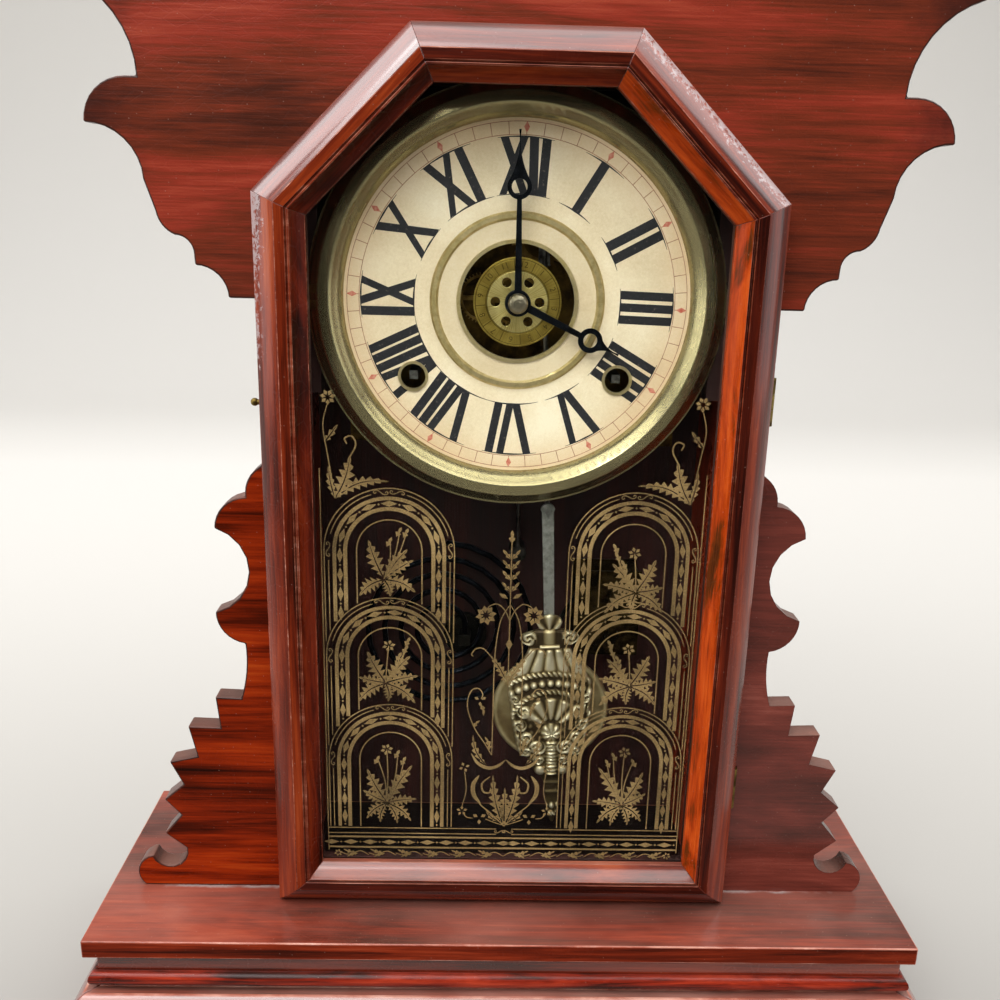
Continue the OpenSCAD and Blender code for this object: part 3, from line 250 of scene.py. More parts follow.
def eased(node, materials, soften=0.0, pick=lambda face: 0, rubbed=None, run=None):
    """A copy of a CAD piece with its arrises rubbed round by so many mm; pick gives the number
    of the material for a face. The rubbed arrises take the material added last, on a moulding
    only where they follow its run; on the base and the door it shows wear and a painted highlight."""
    source = frame["nodes"][node]
    shape = bmesh.new()
    shape.from_mesh(source.data)
    bmesh.ops.remove_doubles(shape, verts=shape.verts, dist=4e-6)
    bmesh.ops.dissolve_limit(shape, angle_limit=radians(0.6), verts=shape.verts, edges=shape.edges)
    for f in shape.faces:
        f.material_index = pick(f)
    if soften:
        arrises = [e for e in shape.edges
                   if len(e.link_faces) == 2 and e.calc_face_angle() > radians(30)]
        bevels = bmesh.ops.bevel(shape, geom=arrises, offset=soften / 1000, segments=2, profile=0.5,
                                 affect="EDGES", clamp_overlap=True)["faces"]
        for f in bevels if rubbed else ():
            edge = max(f.edges, key=lambda e: e.calc_length())
            way = (edge.verts[1].co - edge.verts[0].co).normalized()
            if run is None or abs(way.dot(run)) > 0.95:
                f.material_index = len(materials)
        materials = materials + ([rubbed] if rubbed else [])
    piece = placed(node + "_finished", shape, materials, source["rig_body"])
    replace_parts(piece, node)
    return piece


RECESS = 0.0375
# Faces in the recess, above the height RECESS, take its painted shade.
for node, wood, run in (("base_front", base_wood, Vector((1, 0, 0))),
                        ("base_returns", return_wood, Vector((0, 1, 0)))):
    eased(node, [wood, recess_wood, base_wood], 0.7,
          lambda face: 1 if face.calc_center_median().z > RECESS else 2 if face.normal.y > 0.9 else 0,
          worn_highlit_wood, run)
eased("base_plate", [plate_wood, edge_wood], 0.6,
      lambda face: int(face.normal.z < 0.5), worn_highlit_wood)
bead_wood = stained_wood("dark_stained_bead", LEVEL, 2.3, [
    (0.5, "#120403"), (0.68, "#3a0f07"), (0.8, "#85220f"), (1.0, "#bc3f22")], (70, 9), 0.1, 0.1)
eased("base_bead", [bead_wood], 0.3)

# Box: two side boards, a top and a back board nailed on from behind, with battens for the dial
# and rails for the movement inside. The sides are stained outside; the back is bare pine.
side_wood = stained_wood("red_stained_side_wood", UPRIGHT, 3.1, RED_STAIN)
for node in ("left_side", "right_side", "box_top"):
    eased(node, [side_wood], 0.6)


def bare_pine(name, turn, seed, stops):
    """Unpainted softwood, browned with age: broad rings, fine dry fibres, no gloss."""
    material, add, shader = finish(name, IOR=1.45)
    where = add("TexCoord")
    lie = add("Mapping", Vector=where.outputs["Object"], Rotation=turn,
              Location=(seed, 0.3 * seed, 0.7 * seed))
    rings = grain(add, lie, "TexNoise", 240, 14, 40, Detail=4.0, Distortion=0.9)
    fibres = grain(add, lie, "TexNoise", 30, 0.8, 0.8, Detail=2.0)
    mixed = add("Math.MULTIPLY_ADD", fibres, 0.3, rings)
    colour = add("ValToRGB", mixed, stops=stops)
    rough = add("Math.MULTIPLY_ADD", rings, 0.2, 0.6)
    bump = add("Bump", Strength=0.3, Distance=0.0004, Height=fibres)
    feed(shader, Base_Color=colour, Roughness=rough, Normal=bump)
    return material


back_pine = bare_pine("aged_bare_pine", UPRIGHT, 0.6,
                      [(0.4, "#4b3020"), (0.6, "#7b5636"), (0.75, "#94693f"), (0.95, "#a97d50")])
# Painted shade: the inside of the back, the battens and the glazing strips take a near-black pine,
# standing in for the shade within the box.
inner_pine = bare_pine("shade_dark_inner_pine", UPRIGHT, 2.2,
                       [(0.4, "#1a0704"), (0.6, "#280c06"), (0.8, "#38130a"), (0.95, "#461a0d")])
eased("back_board", [back_pine, inner_pine], 0.5,
      lambda face: int(face.normal.y < -0.9))
eased("case_battens", [inner_pine], 0.4)


def maker(name, **sockets):
    """A Geometry Nodes tree with its named inputs, what adds nodes to it, and the inputs' values."""
    tree = bpy.data.node_groups.new(name, "GeometryNodeTree")
    for label, kind in [*sockets.items(), ("Material", "Material")]:
        tree.interface.new_socket(label, in_out="INPUT", socket_type="NodeSocket" + kind)
    tree.interface.new_socket("Geometry", in_out="OUTPUT", socket_type="NodeSocketGeometry")
    return tree, partial(put, tree), put(tree, "GroupInput").outputs


def made(add, given, instances):
    """Ends a tree: its instances become one mesh of the given material."""
    joined = add("RealizeInstances", Geometry=instances)
    add("GroupOutput", add("SetMaterial", Geometry=joined, Material=given["Material"]))


nail_tree, add, given = maker("nail_heads_at_points", Geometry="Geometry", Radius="Float")
head = add("MeshUVSphere", Segments=16, Rings=8, Radius=given["Radius"]).outputs["Mesh"]
head = add("Transform", Geometry=head, Scale=(1, 0.3, 1))
made(add, given, add("InstanceOnPoints", Points=given["Geometry"], Instance=head))


def noded(name, tree, body, slot, start=None, **values):
    """What a tree makes from its named inputs, as a plain piece on a body."""
    piece = shown(name, start or bpy.data.meshes.new(name))
    modifier = piece.modifiers.new(name, "NODES")
    modifier.node_group = tree
    for item in tree.interface.items_tree:
        if item.name in values:
            modifier[item.identifier] = values[item.name]
    return riding(piece, body)


def mottled(name, size, stops, detail=3.0, spread=None, **constants):
    """A finish in soft spots of a size in mm; spread makes the lighter spots rougher."""
    material, add, shader = finish(name, **constants)
    spots = add("TexNoise", Vector=add("TexCoord").outputs["Object"], Scale=1000 / size, Detail=detail)
    feed(shader, Base_Color=add("ValToRGB", spots, stops=stops))
    if spread:
        feed(shader, Roughness=add("Math.MULTIPLY_ADD", spots, *spread))
    return material


rust = mottled("rusted_nail_iron", 0.8, [(0.4, "#2b201a"), (0.65, "#5c3c28")], spread=(0.3, 0.5),
               Metallic=0.4)
corners = [vert.co for vert in frame["nodes"]["back_board"].data.vertices]
low, high = (Vector([end(c[i] for c in corners) for i in range(3)]) for end in (min, max))
INSET, ENDS, TOP_ENDS = 0.004, 0.02, 0.045
nails = [(x, high.y, z) for x in (low.x + INSET, high.x - INSET)
         for z in np.linspace(low.z + ENDS, high.z - ENDS, 7)]
nails += [(x, high.y, high.z - INSET) for x in np.linspace(low.x + TOP_ENDS, high.x - TOP_ENDS, 3)]
points = bpy.data.meshes.new("nail_points")
points.from_pydata(nails, [], [])
noded("back_nails", nail_tree, "case", "black_iron", points, Radius=0.0018, Material=rust)

# Crest and wings: boards sawn to scrolls and teeth with a fretsaw, stained and shellacked on
# the face. The sawn edges took the stain darker and have greyed with dirt.


def handled(add, where, colour):
    """Dark grime on the ears at both sides, where hands have taken hold of the crest."""
    across = add("SeparateXYZ", where).outputs["X"]
    out = add("Math.ABSOLUTE", across)
    clouds = add("TexNoise", Vector=where, Scale=1000 / 9, Detail=5.0, Roughness=0.7)
    held = add("Math.MULTIPLY_ADD", clouds, 0.03, out)
    held = add("ValToRGB", held, stops=[(0.158, 0.0), (0.182, 0.7)])
    return add("MixRGB", held, colour, "#2c1613")


crest_wood = stained_wood("red_stained_crest_wood", LEVEL, 5.23, [
    (0.48, "#2b130a"), (0.63, "#4e2114"), (0.76, "#6f2c19"), (0.88, "#8d3121"), (1.03, "#a2432e")],
    streak=(260, 21), marks=handled)
wing_wood = stained_wood("red_stained_wing_wood", LEVEL, 6.6, [
    (0.5, "#1e0702"), (0.63, "#4c1203"), (0.75, "#7a2006"), (0.87, "#9c2f0a"), (1.0, "#b44514")],
    streak=(170, 10), gloss=0.02, ior=1.13)
# Painted sheen: the right wing takes a greyer stain than the left, standing in for the haze of
# reflection on it.
sheen_greyed_wing_wood = stained_wood("sheen_greyed_stained_wing_wood", LEVEL, 8.7, [
    (0.45, "#32150f"), (0.63, "#53241b"), (0.78, "#6d2f25"), (0.9, "#803a2e"), (1.05, "#954d40")],
    streak=(120, 26), gloss=0.4)
sawn_wood = stained_wood("sawn_stained_edge", LEVEL, 7.4,
                         [(0.5, "#1c0c09"), (0.7, "#35170f"), (0.9, "#4b2216"), (1.05, "#5f3120")],
                         streak=(20, 5))
for node, wood in (("crest", crest_wood), ("left_wing", wing_wood), ("right_wing", sheen_greyed_wing_wood)):
    eased(node, [wood, sawn_wood], 0.8, lambda face: int(abs(face.normal.y) < 0.3),
          sawn_wood)

# Hinges and catch: small stamped brass butts on the right, each with its pin, and a brass bush
# let into the left side. Brass gone brown in soft patches.


def metal(name, bright, tarnish, rough, grain=9.0, cover=(0.42, 0.62), turned=None, line=0.5,
          bare=1.0):
    """Bare metal with tarnish in soft patches, duller where it lies; turned names the axis of
    work spun or turned on a lathe, which shows rings so many mm apart. Where the metal is not
    wholly bare, the rest is a dull film of oxide."""
    material, add, shader = finish(name, Metallic=bare)
    where = add("TexCoord").outputs["Object"]
    patches = add("TexNoise", Vector=where, Scale=1000 / grain, Detail=5.0, Roughness=0.6)
    age = add("ValToRGB", patches, stops=[(cover[0], 0.0), (cover[1], 1.0)])
    colour = add("MixRGB", age, bright, tarnish)
    marks = add("TexNoise", Vector=where, Scale=1000 / 0.8, Detail=2.0)
    if turned:
        middle = add("VectorMath.SUBTRACT", where, (turned[0], 0, turned[1]))
        flat = add("VectorMath.MULTIPLY", middle, (1, 0, 1))
        reach = add("VectorMath.LENGTH", flat).outputs["Value"]
        marks = add("TexNoise", W=reach, Scale=1000 / line, Detail=2.0, noise_dimensions="1D")
    spread = add("Math.MULTIPLY_ADD", age, 0.18, rough)
    dull = add("Math.MULTIPLY_ADD", marks, 0.06 if turned else 0.14, spread)
    bump = add("Bump", Strength=0.02 if turned else 0.12, Distance=0.0002, Height=marks)
    feed(shader, Base_Color=colour, Roughness=dull, Normal=bump)
    return material


DIAL = (0.0, 0.3285)
old_brass = metal("tarnished_brass", "#9a8447", "#4d3d1e", 0.3)
for node in ("case_hinge_leaves", "door_hinge_leaves", "catch_bush", "door_catch"):
    eased(node, [old_brass], 0.12)

# Dial: a spun brass bezel over a tin plate, with a printed paper pasted on. Brass eyelets line
# the winding holes and the middle; four screws hold the bezel's ears to the battens.
spun_brass = metal("spun_bezel_brass", "#a99f78", "#938963", 0.13, 60.0, (0.3, 0.75), DIAL, 0.9, 0.88)
eased("dial_bezel", [spun_brass])
eased("dial_eyelets", [metal("dial_eyelet_brass", "#d3c190", "#ab9a68", 0.3)])
eased("dial_screws", [old_brass])
tin = metal("dull_tinplate", "#a3a198", "#6d6a61", 0.42, 14.0)
eased("dial_plate", [tin])


def dial_paper():
    """Printed paper, yellowed: soft fibres, brown foxing, painted shade in the middle, darker towards
    the edge.
    """
    material, add, shader = finish("yellowed_dial_paper", IOR=1.4, Roughness=0.72)
    where = add("TexCoord").outputs["Object"]
    middle = add("VectorMath.DISTANCE", where, (DIAL[0], -0.003, DIAL[1])).outputs["Value"]
    fibres = add("TexNoise", Vector=where, Scale=1000 / 0.9, Detail=3.0)
    clouds = add("TexNoise", Vector=where, Scale=1000 / 32, Detail=4.0)
    blend = add("Math.MULTIPLY_ADD", fibres, 0.35, clouds)
    colour = add("ValToRGB", blend, stops=[(0.45, "#cfbb98"), (0.68, "#decdac"), (0.9, "#e8dbbf")])
    # Painted shade on the middle of the paper, inside the raised ring.
    shade = add("ValToRGB", middle, stops=[(0.031, 0.35), (0.039, 0.0)])
    colour = add("MixRGB", shade, colour, "#a8936c")
    edge = add("ValToRGB", middle, stops=[(0.056, 0.0), (0.0725, 0.55)])
    colour = add("MixRGB", edge, colour, "#d2ac80")
    bump = add("Bump", Strength=0.2, Distance=0.0002, Height=fibres)
    feed(shader, Base_Color=colour, Normal=bump)
    return material


eased("dial_paper", [dial_paper()])

# Dial print: black radial numerals with long thin serifs, a fine red-brown minute track and red
# lozenges at the hours, all printed on the paper and set a little clockwise of upright.
# The print lies at the depth PRINT, just in front of the paper.
PRINT = 13.4 + FACE - 0.02
PRINT_TURN = 1.6


def skin(name, rings, depth, material, body, rise, step=0.0, layers=7, thick=0.03):
    """Flat rings of (x, z) in mm, raised and laid at a depth in mm as a skin of ink; rings that
    cross lie in layers, each a step deeper."""
    shape = bmesh.new()
    for k, ring in enumerate(rings):
        wind = sum(a[0] * b[1] - b[0] * a[1] for a, b in zip(ring, list(ring[1:]) + [ring[0]]))
        ring = list(ring) if wind > 0 else list(ring)[::-1]
        y = depth + k % layers * step
        front, back = ([shape.verts.new((x / 1000, y / 1000, (z + rise) / 1000)) for x, z in ring]
                       for y in (y, y + thick))
        shape.faces.new(front)
        shape.faces.new(back[::-1])
        for i in range(len(ring)):
            shape.faces.new((front[i], front[i - 1], back[i - 1], back[i]))
    return placed(name, shape, [material], body)


NUMERAL_OUTER, NUMERAL_INNER = 64.5, 43.0


def stroke(outer, inner, wide):
    """One bar of a numeral, from its outer middle to its inner middle across the radius."""
    half = wide / 2
    ends = [(outer - half, NUMERAL_OUTER), (outer + half, NUMERAL_OUTER),
            (inner + half, NUMERAL_INNER), (inner - half, NUMERAL_INNER)]
    return [(u, sqrt(r * r - u * u)) for u, r in ends]


def serif(reach, r):
    """A long thin line across the end of a numeral, drawn out to points."""
    bend = np.linspace(-reach / r, reach / r, 13)
    half = 0.38 * (1 - 0.8 * np.abs(bend) * r / reach)
    return ([(sin(a) * (r + w), cos(a) * (r + w)) for a, w in zip(bend, half)]
            + [(sin(a) * (r - w), cos(a) * (r - w)) for a, w in zip(bend[::-1], half[::-1])])


NUMERALS = [
    [(-8.6, 0.2, 3.3), (-0.6, -8.2, 3.0), (3.2, 3.9, 3.7), (8.3, 7.4, 3.6)],
    [(0.0, 0.0, 3.8)],
    [(-2.8, -2.8, 3.9), (2.8, 2.8, 3.9)],
    [(-5.0, -5.0, 3.5), (0.0, 0.0, 3.5), (5.0, 5.0, 3.5)],
    [(-7.2, -6.6, 3.4), (-2.4, -2.2, 3.4), (2.4, 2.2, 3.4), (7.2, 6.6, 3.4)],
    [(-5.8, -1.2, 3.4), (5.6, 1.2, 2.9)],
    [(-7.6, -1.9, 3.3), (4.0, 0.7, 3.1), (8.9, 5.5, 3.4)],
    [(-8.8, -2.3, 3.4), (2.2, 0.5, 3.3), (6.6, 5.0, 3.6), (11.2, 9.6, 3.6)],
    [(-11.2, -6.6, 3.4), (-2.2, -4.3, 3.2), (1.9, 0.7, 3.5), (6.2, 5.0, 3.5), (10.6, 9.4, 3.5)],
    [(-6.6, -6.0, 3.7), (-2.4, 5.6, 3.4), (6.0, -2.2, 3.0)],
    [(-5.4, 5.2, 3.5), (5.0, -5.2, 3.0)],
    [(-8.4, 1.2, 3.4), (0.8, -7.6, 3.0), (6.0, 5.4, 3.7)],
]
SERIFS = ((64.6, 9.2, 1.2), (42.8, 7.6, 0.6))
rings = []
for hour, bars in enumerate(NUMERALS):
    turn = radians(30 * hour + PRINT_TURN)
    span = max(abs(u) + w / 2 for a, b, w in bars for u in (a, b))
    for ring in ([stroke(*bar) for bar in bars]
                 + [serif(max(least, span + beyond), r) for r, least, beyond in SERIFS]):
        rings.append([(u * cos(turn) + v * sin(turn), v * cos(turn) - u * sin(turn))
                      for u, v in ring])
ink = mottled("black_printing_ink", 1.6, [(0.3, "#0d0c10"), (0.62, "#18171c"), (0.76, "#5e5548")],
              4.0, IOR=1.45, Roughness=0.6)
numerals = skin("dial_numerals", rings, PRINT, ink, "case", 1000 * DIAL[1])
WINDING_X, WINDING_Z, EYELET = 0.043, 0.0317, 0.0058
punch = bmesh.new()
for side in (-1, 1):
    hole = (Matrix.Translation((side * WINDING_X, FACE / 1000, DIAL[1] - WINDING_Z))
            @ Matrix.Rotation(radians(90), 4, "X"))
    bmesh.ops.create_cone(punch, cap_ends=True, segments=40, radius1=EYELET, radius2=EYELET,
                          depth=0.06, matrix=hole)
tool = shown("winding_hole_punch", punch)
cut = numerals.modifiers.new("punched", "BOOLEAN")
cut.object = tool
cut.solver = "EXACT"
cut.use_self = True
settled(numerals)
bpy.data.objects.remove(tool)

marks_tree, add, given = maker(
    "marks_round_an_axis", Count="Int", Radius="Float", Width="Float", Length="Float",
    Corner="Float", Middle="Vector", Start="Float")
circle = add("MeshCircle", Vertices=given["Count"], Radius=given["Radius"])
mark = add("MeshCircle", Vertices=4, Radius=0.5, fill_type="NGON")
mark = add("Transform", Geometry=mark, Rotation=add("CombineXYZ", Z=given["Corner"]))
size = add("CombineXYZ", given["Width"], given["Length"], 1.0)
mark = add("Transform", Geometry=mark, Scale=size)
outward = add("AlignRotationToVector", Vector=add("InputPosition"), axis="Y", pivot_axis="Z")
spread = add("InstanceOnPoints", Points=circle, Instance=mark, Rotation=outward)
spread = add("Transform", Geometry=spread, Rotation=add("CombineXYZ", Z=given["Start"]))
made(add, given, add("Transform", Geometry=spread, Translation=given["Middle"],
                     Rotation=(radians(90), 0, 0)))

track_ink = mottled("red_brown_printing_ink", 2.0, [(0.3, "#7c4a38"), (0.7, "#b07c60")],
                    IOR=1.45, Roughness=0.65)
red_ink = mottled("red_printing_ink", 1.5, [(0.3, "#b2503a"), (0.7, "#cf8f78")],
                  IOR=1.45, Roughness=0.65)
SQUARE, POINTED = radians(45), 0.0
LAYER = 0.00002
HALF_LINE = 0.14
TRACK = (65.3, 70.3)
noded("minute_ticks", marks_tree, "case", "dial_paper", Count=60, Radius=0.0678, Width=0.00042,
      Length=0.0071, Corner=SQUARE, Middle=(DIAL[0], PRINT / 1000, DIAL[1]),
      Start=radians(-PRINT_TURN), Material=track_ink)
noded("hour_lozenges", marks_tree, "case", "dial_paper", Count=12, Radius=0.0682, Width=0.0023,
      Length=0.0045, Corner=POINTED, Middle=(DIAL[0], PRINT / 1000 - LAYER, DIAL[1]),
      Start=radians(-PRINT_TURN), Material=red_ink)
rings = []
for r in TRACK:
    for part in range(4):
        bend = np.radians(np.linspace(90 * part, 90 * part + 90, 41))
        rings.append([(d * cos(a), d * sin(a)) for a, d in (
            *((a, r + HALF_LINE) for a in bend), *((a, r - HALF_LINE) for a in bend[::-1]))])
skin("minute_track", rings, PRINT, track_ink, "case", 1000 * DIAL[1])

# Hands and motion work: blued steel hands on brass pipes, a turned brass nut, and an alarm disc
# of brass, brushed from the middle outwards and stamped with the hours.
black_steel = metal("blued_black_steel", "#1d2025", "#0d0e10", 0.34, 6.0)
for node in ("minute_hand", "hour_hand"):
    eased(node, [black_steel], 0.18)
eased("hand_nut", [metal("worn_nut_brass", "#9b937d", "#4c4634", 0.25)])
DISC_R, HOUR_BAND, DISC_TURN = 0.02, 0.0153, 9


def disc_brass():
    """Sheet brass brushed outwards from the middle, with turned grooves on both sides of the
    hour band: bright rays inside, a duller ring outside."""
    material, add, shader = finish("stamped_disc_brass", Metallic=1.0)
    where = add("TexCoord").outputs["Object"]
    out = add("VectorMath.SUBTRACT", where, (DIAL[0], 0, DIAL[1]))
    flat = add("VectorMath.MULTIPLY", out, (1 / DISC_R, 0, 1 / DISC_R))
    reach = add("VectorMath.LENGTH", flat).outputs["Value"]
    parts = add("SeparateXYZ", out).outputs
    angle = add("Math.ARCTAN2", parts["X"], parts["Z"])
    rays = add("TexNoise", W=angle, Scale=26.0, Detail=3.0, noise_dimensions="1D")
    inner = add("ValToRGB", reach, stops=[(0.62, 1.0), (0.64, 0.25)])
    rays = add("Math.MULTIPLY", rays, inner)
    grooves = add("ValToRGB", reach, stops=[(0.615, 0.0), (0.63, 1.0), (0.64, 0.1), (0.65, 1.0),
                                            (0.665, 0.0), (0.855, 0.0), (0.868, 1.0), (0.88, 0.0)])
    age = add("TexNoise", Vector=where, Scale=1000 / 5, Detail=4.0)
    tone = add("Math.MULTIPLY_ADD", age, 0.4, rays)
    colour = add("ValToRGB", tone, stops=[(0.22, "#a98f3f"), (0.48, "#d6bc5c"), (0.75, "#f8e698")])
    colour = add("MixRGB", grooves, colour, "#3c3114")
    height = add("Math.MULTIPLY_ADD", grooves, -1.0, rays)
    bump = add("Bump", Strength=0.4, Distance=0.0002, Height=height)
    dull = add("Math.MULTIPLY_ADD", age, 0.2, 0.22)
    feed(shader, Base_Color=colour, Roughness=dull, Normal=bump)
    return material


eased("alarm_disc", [disc_brass()], 0.15)
stamp_tone = metal("stamped_number_brass", "#6a5a2c", "#4a3c1a", 0.4)
DISC = (DIAL[0], (12.0 + FACE) / 1000, DIAL[1])
PROUD = 0.00003
numbers = bmesh.new()
for hour in range(1, 13):
    words = bpy.data.curves.new("hour_stamp", "FONT")
    words.body = str(hour)
    words.size = 0.0034
    words.align_x = words.align_y = "CENTER"
    words.extrude = 0.00004
    blank = shown("hour_stamp", words)
    mesh = meshed(blank)
    bpy.data.objects.remove(blank)
    mesh.transform(Matrix.Translation(DISC) @ Matrix.Rotation(radians(30 * hour + DISC_TURN), 4, "Y")
                   @ Matrix.Translation((0, 0, HOUR_BAND)) @ Matrix.Rotation(radians(90), 4, "X"))
    numbers.from_mesh(mesh)
placed("alarm_numbers", numbers, [stamp_tone], "alarm_setting")
noded("alarm_ticks", marks_tree, "alarm_setting", "aged_brass", Count=12, Radius=HOUR_BAND,
      Width=0.00036, Length=0.0056, Corner=SQUARE, Middle=(DISC[0], DISC[1] - PROUD, DISC[2]),
      Start=radians(15 - DISC_TURN), Material=stamp_tone)

# Movement: two brass plates on four pillars, held to rails by screws, with both trains between.
# Cut brass wheels and steel arbors and pinions, dulled by old oil.
# Painted shade: the plates behind the dial take a darker brass than the wheels, with tarnish in patches.
plate_brass = metal("shade_darkened_plate_brass", "#6e5629", "#352815", 0.36, 12.0)
wheel_brass = metal("cut_wheel_brass", "#a9894a", "#6b5027", 0.32, 7.0)
grey_steel = metal("oiled_grey_steel", "#85857f", "#4a4843", 0.32, 5.0)
for node in ("front_plate", "back_plate"):
    eased(node, [plate_brass], 0.2)
for node in ("minute_wheel", "hour_wheel", "time_main_wheel", "time_second_wheel", "time_third_wheel",
             "escape_wheel", "strike_main_wheel", "strike_cam_wheel", "warning_wheel", "fly"):
    eased(node, [wheel_brass])
for node in ("cannon_pinion", "plate_pillars", "movement_screws", "time_arbor", "strike_arbor",
             "mainsprings", "verge"):
    eased(node, [grey_steel])

# Gong, hammer and alarm: a coil of blued wire screwed to an iron block, a wire hammer for it, and
# an alarm with a wound brass wheel in its own frame.
eased("gong", [black_steel])
eased("gong_block", [metal("painted_iron", "#26241f", "#151412", 0.5)], 0.4)
eased("hammer", [metal("dark_hammer_wire", "#4c4a46", "#26241f", 0.4)])
# The alarm's frame, wheel and hammer take a very dark brass and steel.
dark_alarm_brass = metal("darkened_alarm_brass", "#3a2e18", "#1a140c", 0.5, 8.0)
eased("alarm_frame", [dark_alarm_brass], 0.2)
eased("alarm_wheel", [dark_alarm_brass])
eased("alarm_hammer", [metal("darkened_alarm_steel", "#3a3935", "#1c1b19", 0.45)])

# Pendulum: a wire with a hook, and a bob of thin brass stamped in relief, silvered and worn. Its
# flat stem hangs on the hook; a palmette neck, two cords with beads between, a fan of flutes over
# a shell and leaf scrolls are pressed into the front, and a turned drop ends it below.
eased("suspension_rod", [grey_steel])
HOOK, LEAN, HANG = (9.0, FACE, FLOOR + 337.5), radians(-2.8), (0, 22.2, -254.0)
BOB = Matrix.Translation(HOOK) @ Matrix.Rotation(LEAN, 4, "Y") @ Matrix.Translation(HANG)
BOB_R = 27.4


def worn_silver():
    """Silvered brass: grey-white where it was rubbed bright, brown in the hollows."""
    material, add, shader = finish("worn_silvered_brass", Metallic=0.72)
    patches = add("TexNoise", Vector=add("TexCoord").outputs["Object"], Scale=1000 / 12, Detail=4.0)
    hollow = add("Attribute", attribute_name="hollow").outputs["Fac"]
    mixed = add("Math.MULTIPLY_ADD", patches, 0.55, hollow)
    colour = add("ValToRGB", mixed, stops=[(0.3, "#cbc1a2"), (0.55, "#a69870"), (0.8, "#6e5d3b"),
                                           (1.0, "#3c2f1b")])
    dull = add("Math.MULTIPLY_ADD", mixed, 0.25, 0.26)
    feed(shader, Base_Color=colour, Roughness=dull)
    return material


bob_silver = worn_silver()


def stamped(name, x, z, front, back, hollow):
    """A closed shell from grids in mm: places across and up, heights forward and back, and how
    far each place lies in a hollow."""
    rows, columns = x.shape
    shape = bmesh.new()
    layer = shape.verts.layers.float.new("hollow")
    sheets = []
    for sign, high in ((-1, front), (1, back)):
        sheet = [[shape.verts.new(BOB @ Vector((x[i, j], sign * high[i, j], z[i, j])) / 1000)
                  for j in range(columns)] for i in range(rows)]
        sheets.append(sheet)
        for i in range(rows):
            for j in range(columns):
                sheet[i][j][layer] = float(hollow[i, j]) if sign < 0 else 0.4
        for i in range(rows - 1):
            for j in range(columns - 1):
                four = (sheet[i][j], sheet[i][j + 1], sheet[i + 1][j + 1], sheet[i + 1][j])
                shape.faces.new(four if sign < 0 else four[::-1])
    rim = [(0, j) for j in range(columns)] + [(i, columns - 1) for i in range(1, rows)]
    rim += [(rows - 1, j) for j in range(columns - 2, -1, -1)]
    rim += [(i, 0) for i in range(rows - 2, 0, -1)]
    for (a, b), (c, d) in zip(rim, rim[1:] + rim[:1]):
        shape.faces.new((sheets[0][c][d], sheets[0][a][b], sheets[1][a][b], sheets[1][c][d]))
    bmesh.ops.recalc_face_normals(shape, faces=shape.faces)
    return placed(name, shape, [bob_silver], "pendulum")


def bump_at(d, wide):
    """A rounded ridge or knob across a distance."""
    return np.clip(1 - (d / wide) ** 2, 0, None) ** 0.75


def rolled(x, z, at, r, turns, wide, hand):
    """A ridge wound inwards round a middle like a volute."""
    d = np.hypot(x - at[0], z - at[1])
    a = np.arctan2(z - at[1], hand * (x - at[0]))
    coil = (d / r - a / (2 * np.pi)) * turns
    return np.where(d < r, bump_at((coil % 1) - 0.5, 0.42), 0) * np.clip((r - d) / wide, 0, 1)


u, v = np.meshgrid(np.linspace(-1, 1, 64), np.linspace(-1, 1, 64))
x = BOB_R * u * np.sqrt(1 - v * v / 2)
z = BOB_R * v * np.sqrt(1 - u * u / 2)
r = np.hypot(x, z)
dome = 0.5 + 3.0 * np.clip(1 - (r / BOB_R) ** 2, 0, 1) ** 0.8
relief = 0.7 * bump_at(r - 26.2, 1.3)
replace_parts(stamped("bob_medallion", x, z, dome + relief, dome * 0.8, 0.5 - 0.3 * relief),
            "pendulum_bob")

OUTLINE = [(-61.5, 0.5), (-60.0, 1.2), (-55.0, 2.1), (-48.0, 2.9), (-42.0, 3.5), (-38.5, 3.9),
           (-36.5, 5.2), (-34.5, 7.6), (-32.5, 8.8), (-30.0, 8.8), (-28.3, 8.4), (-26.5, 11.0),
           (-24.0, 14.8), (-21.0, 16.2), (-16.0, 17.0), (-10.0, 18.0), (-4.0, 18.7), (2.0, 19.2),
           (8.0, 19.7), (12.0, 19.8), (15.0, 19.2), (18.0, 17.6), (22.0, 15.2), (26.0, 12.4),
           (29.0, 10.6), (31.5, 9.6), (33.0, 10.2), (34.5, 12.6), (36.5, 13.8), (38.3, 12.6),
           (39.6, 8.4), (40.6, 4.6), (42.0, 5.0), (44.0, 6.0), (46.0, 5.2), (47.2, 3.0), (47.8, 0.6)]
high = np.linspace(OUTLINE[0][0], OUTLINE[-1][0], 236)
half = np.interp(high, *zip(*OUTLINE))
u, z = np.meshgrid(np.linspace(-1, 1, 90), high)
x = u * half[:, None]
r = np.hypot(x, z)
body = (0.4 + 3.0 * np.clip(1 - (r / BOB_R) ** 2, 0, 1) ** 0.8
        + np.minimum(half / 5, 1.9)[:, None] * np.clip(1 - u * u, 0, 1) ** 0.5)


def between(low, top, soft=0.8):
    """One between two heights, falling to nothing at both."""
    return np.clip((z - low) / soft, 0, 1) * np.clip((top - z) / soft, 0, 1)


relief = 1.3 * between(40.4, 60) * (0.5 + 0.5 * np.cos(7 * np.arctan2(x, z - 38.5)))
relief += 1.2 * bump_at(z - 32.3, 0.9) * (np.abs(x) < 4.6) + 0.9 * bump_at(x, 3.0) * between(33, 41)
relief += 1.4 * np.abs(np.cos(2.5 * np.pi * u)) ** 0.8 * between(20.2 - 0.013 * x * x, 31.6, 1.6)


def round_about(drop):
    """The distance and the angle of each place round a point so far below the bob's middle."""
    return np.hypot(x, z + drop), np.arctan2(x, z + drop)


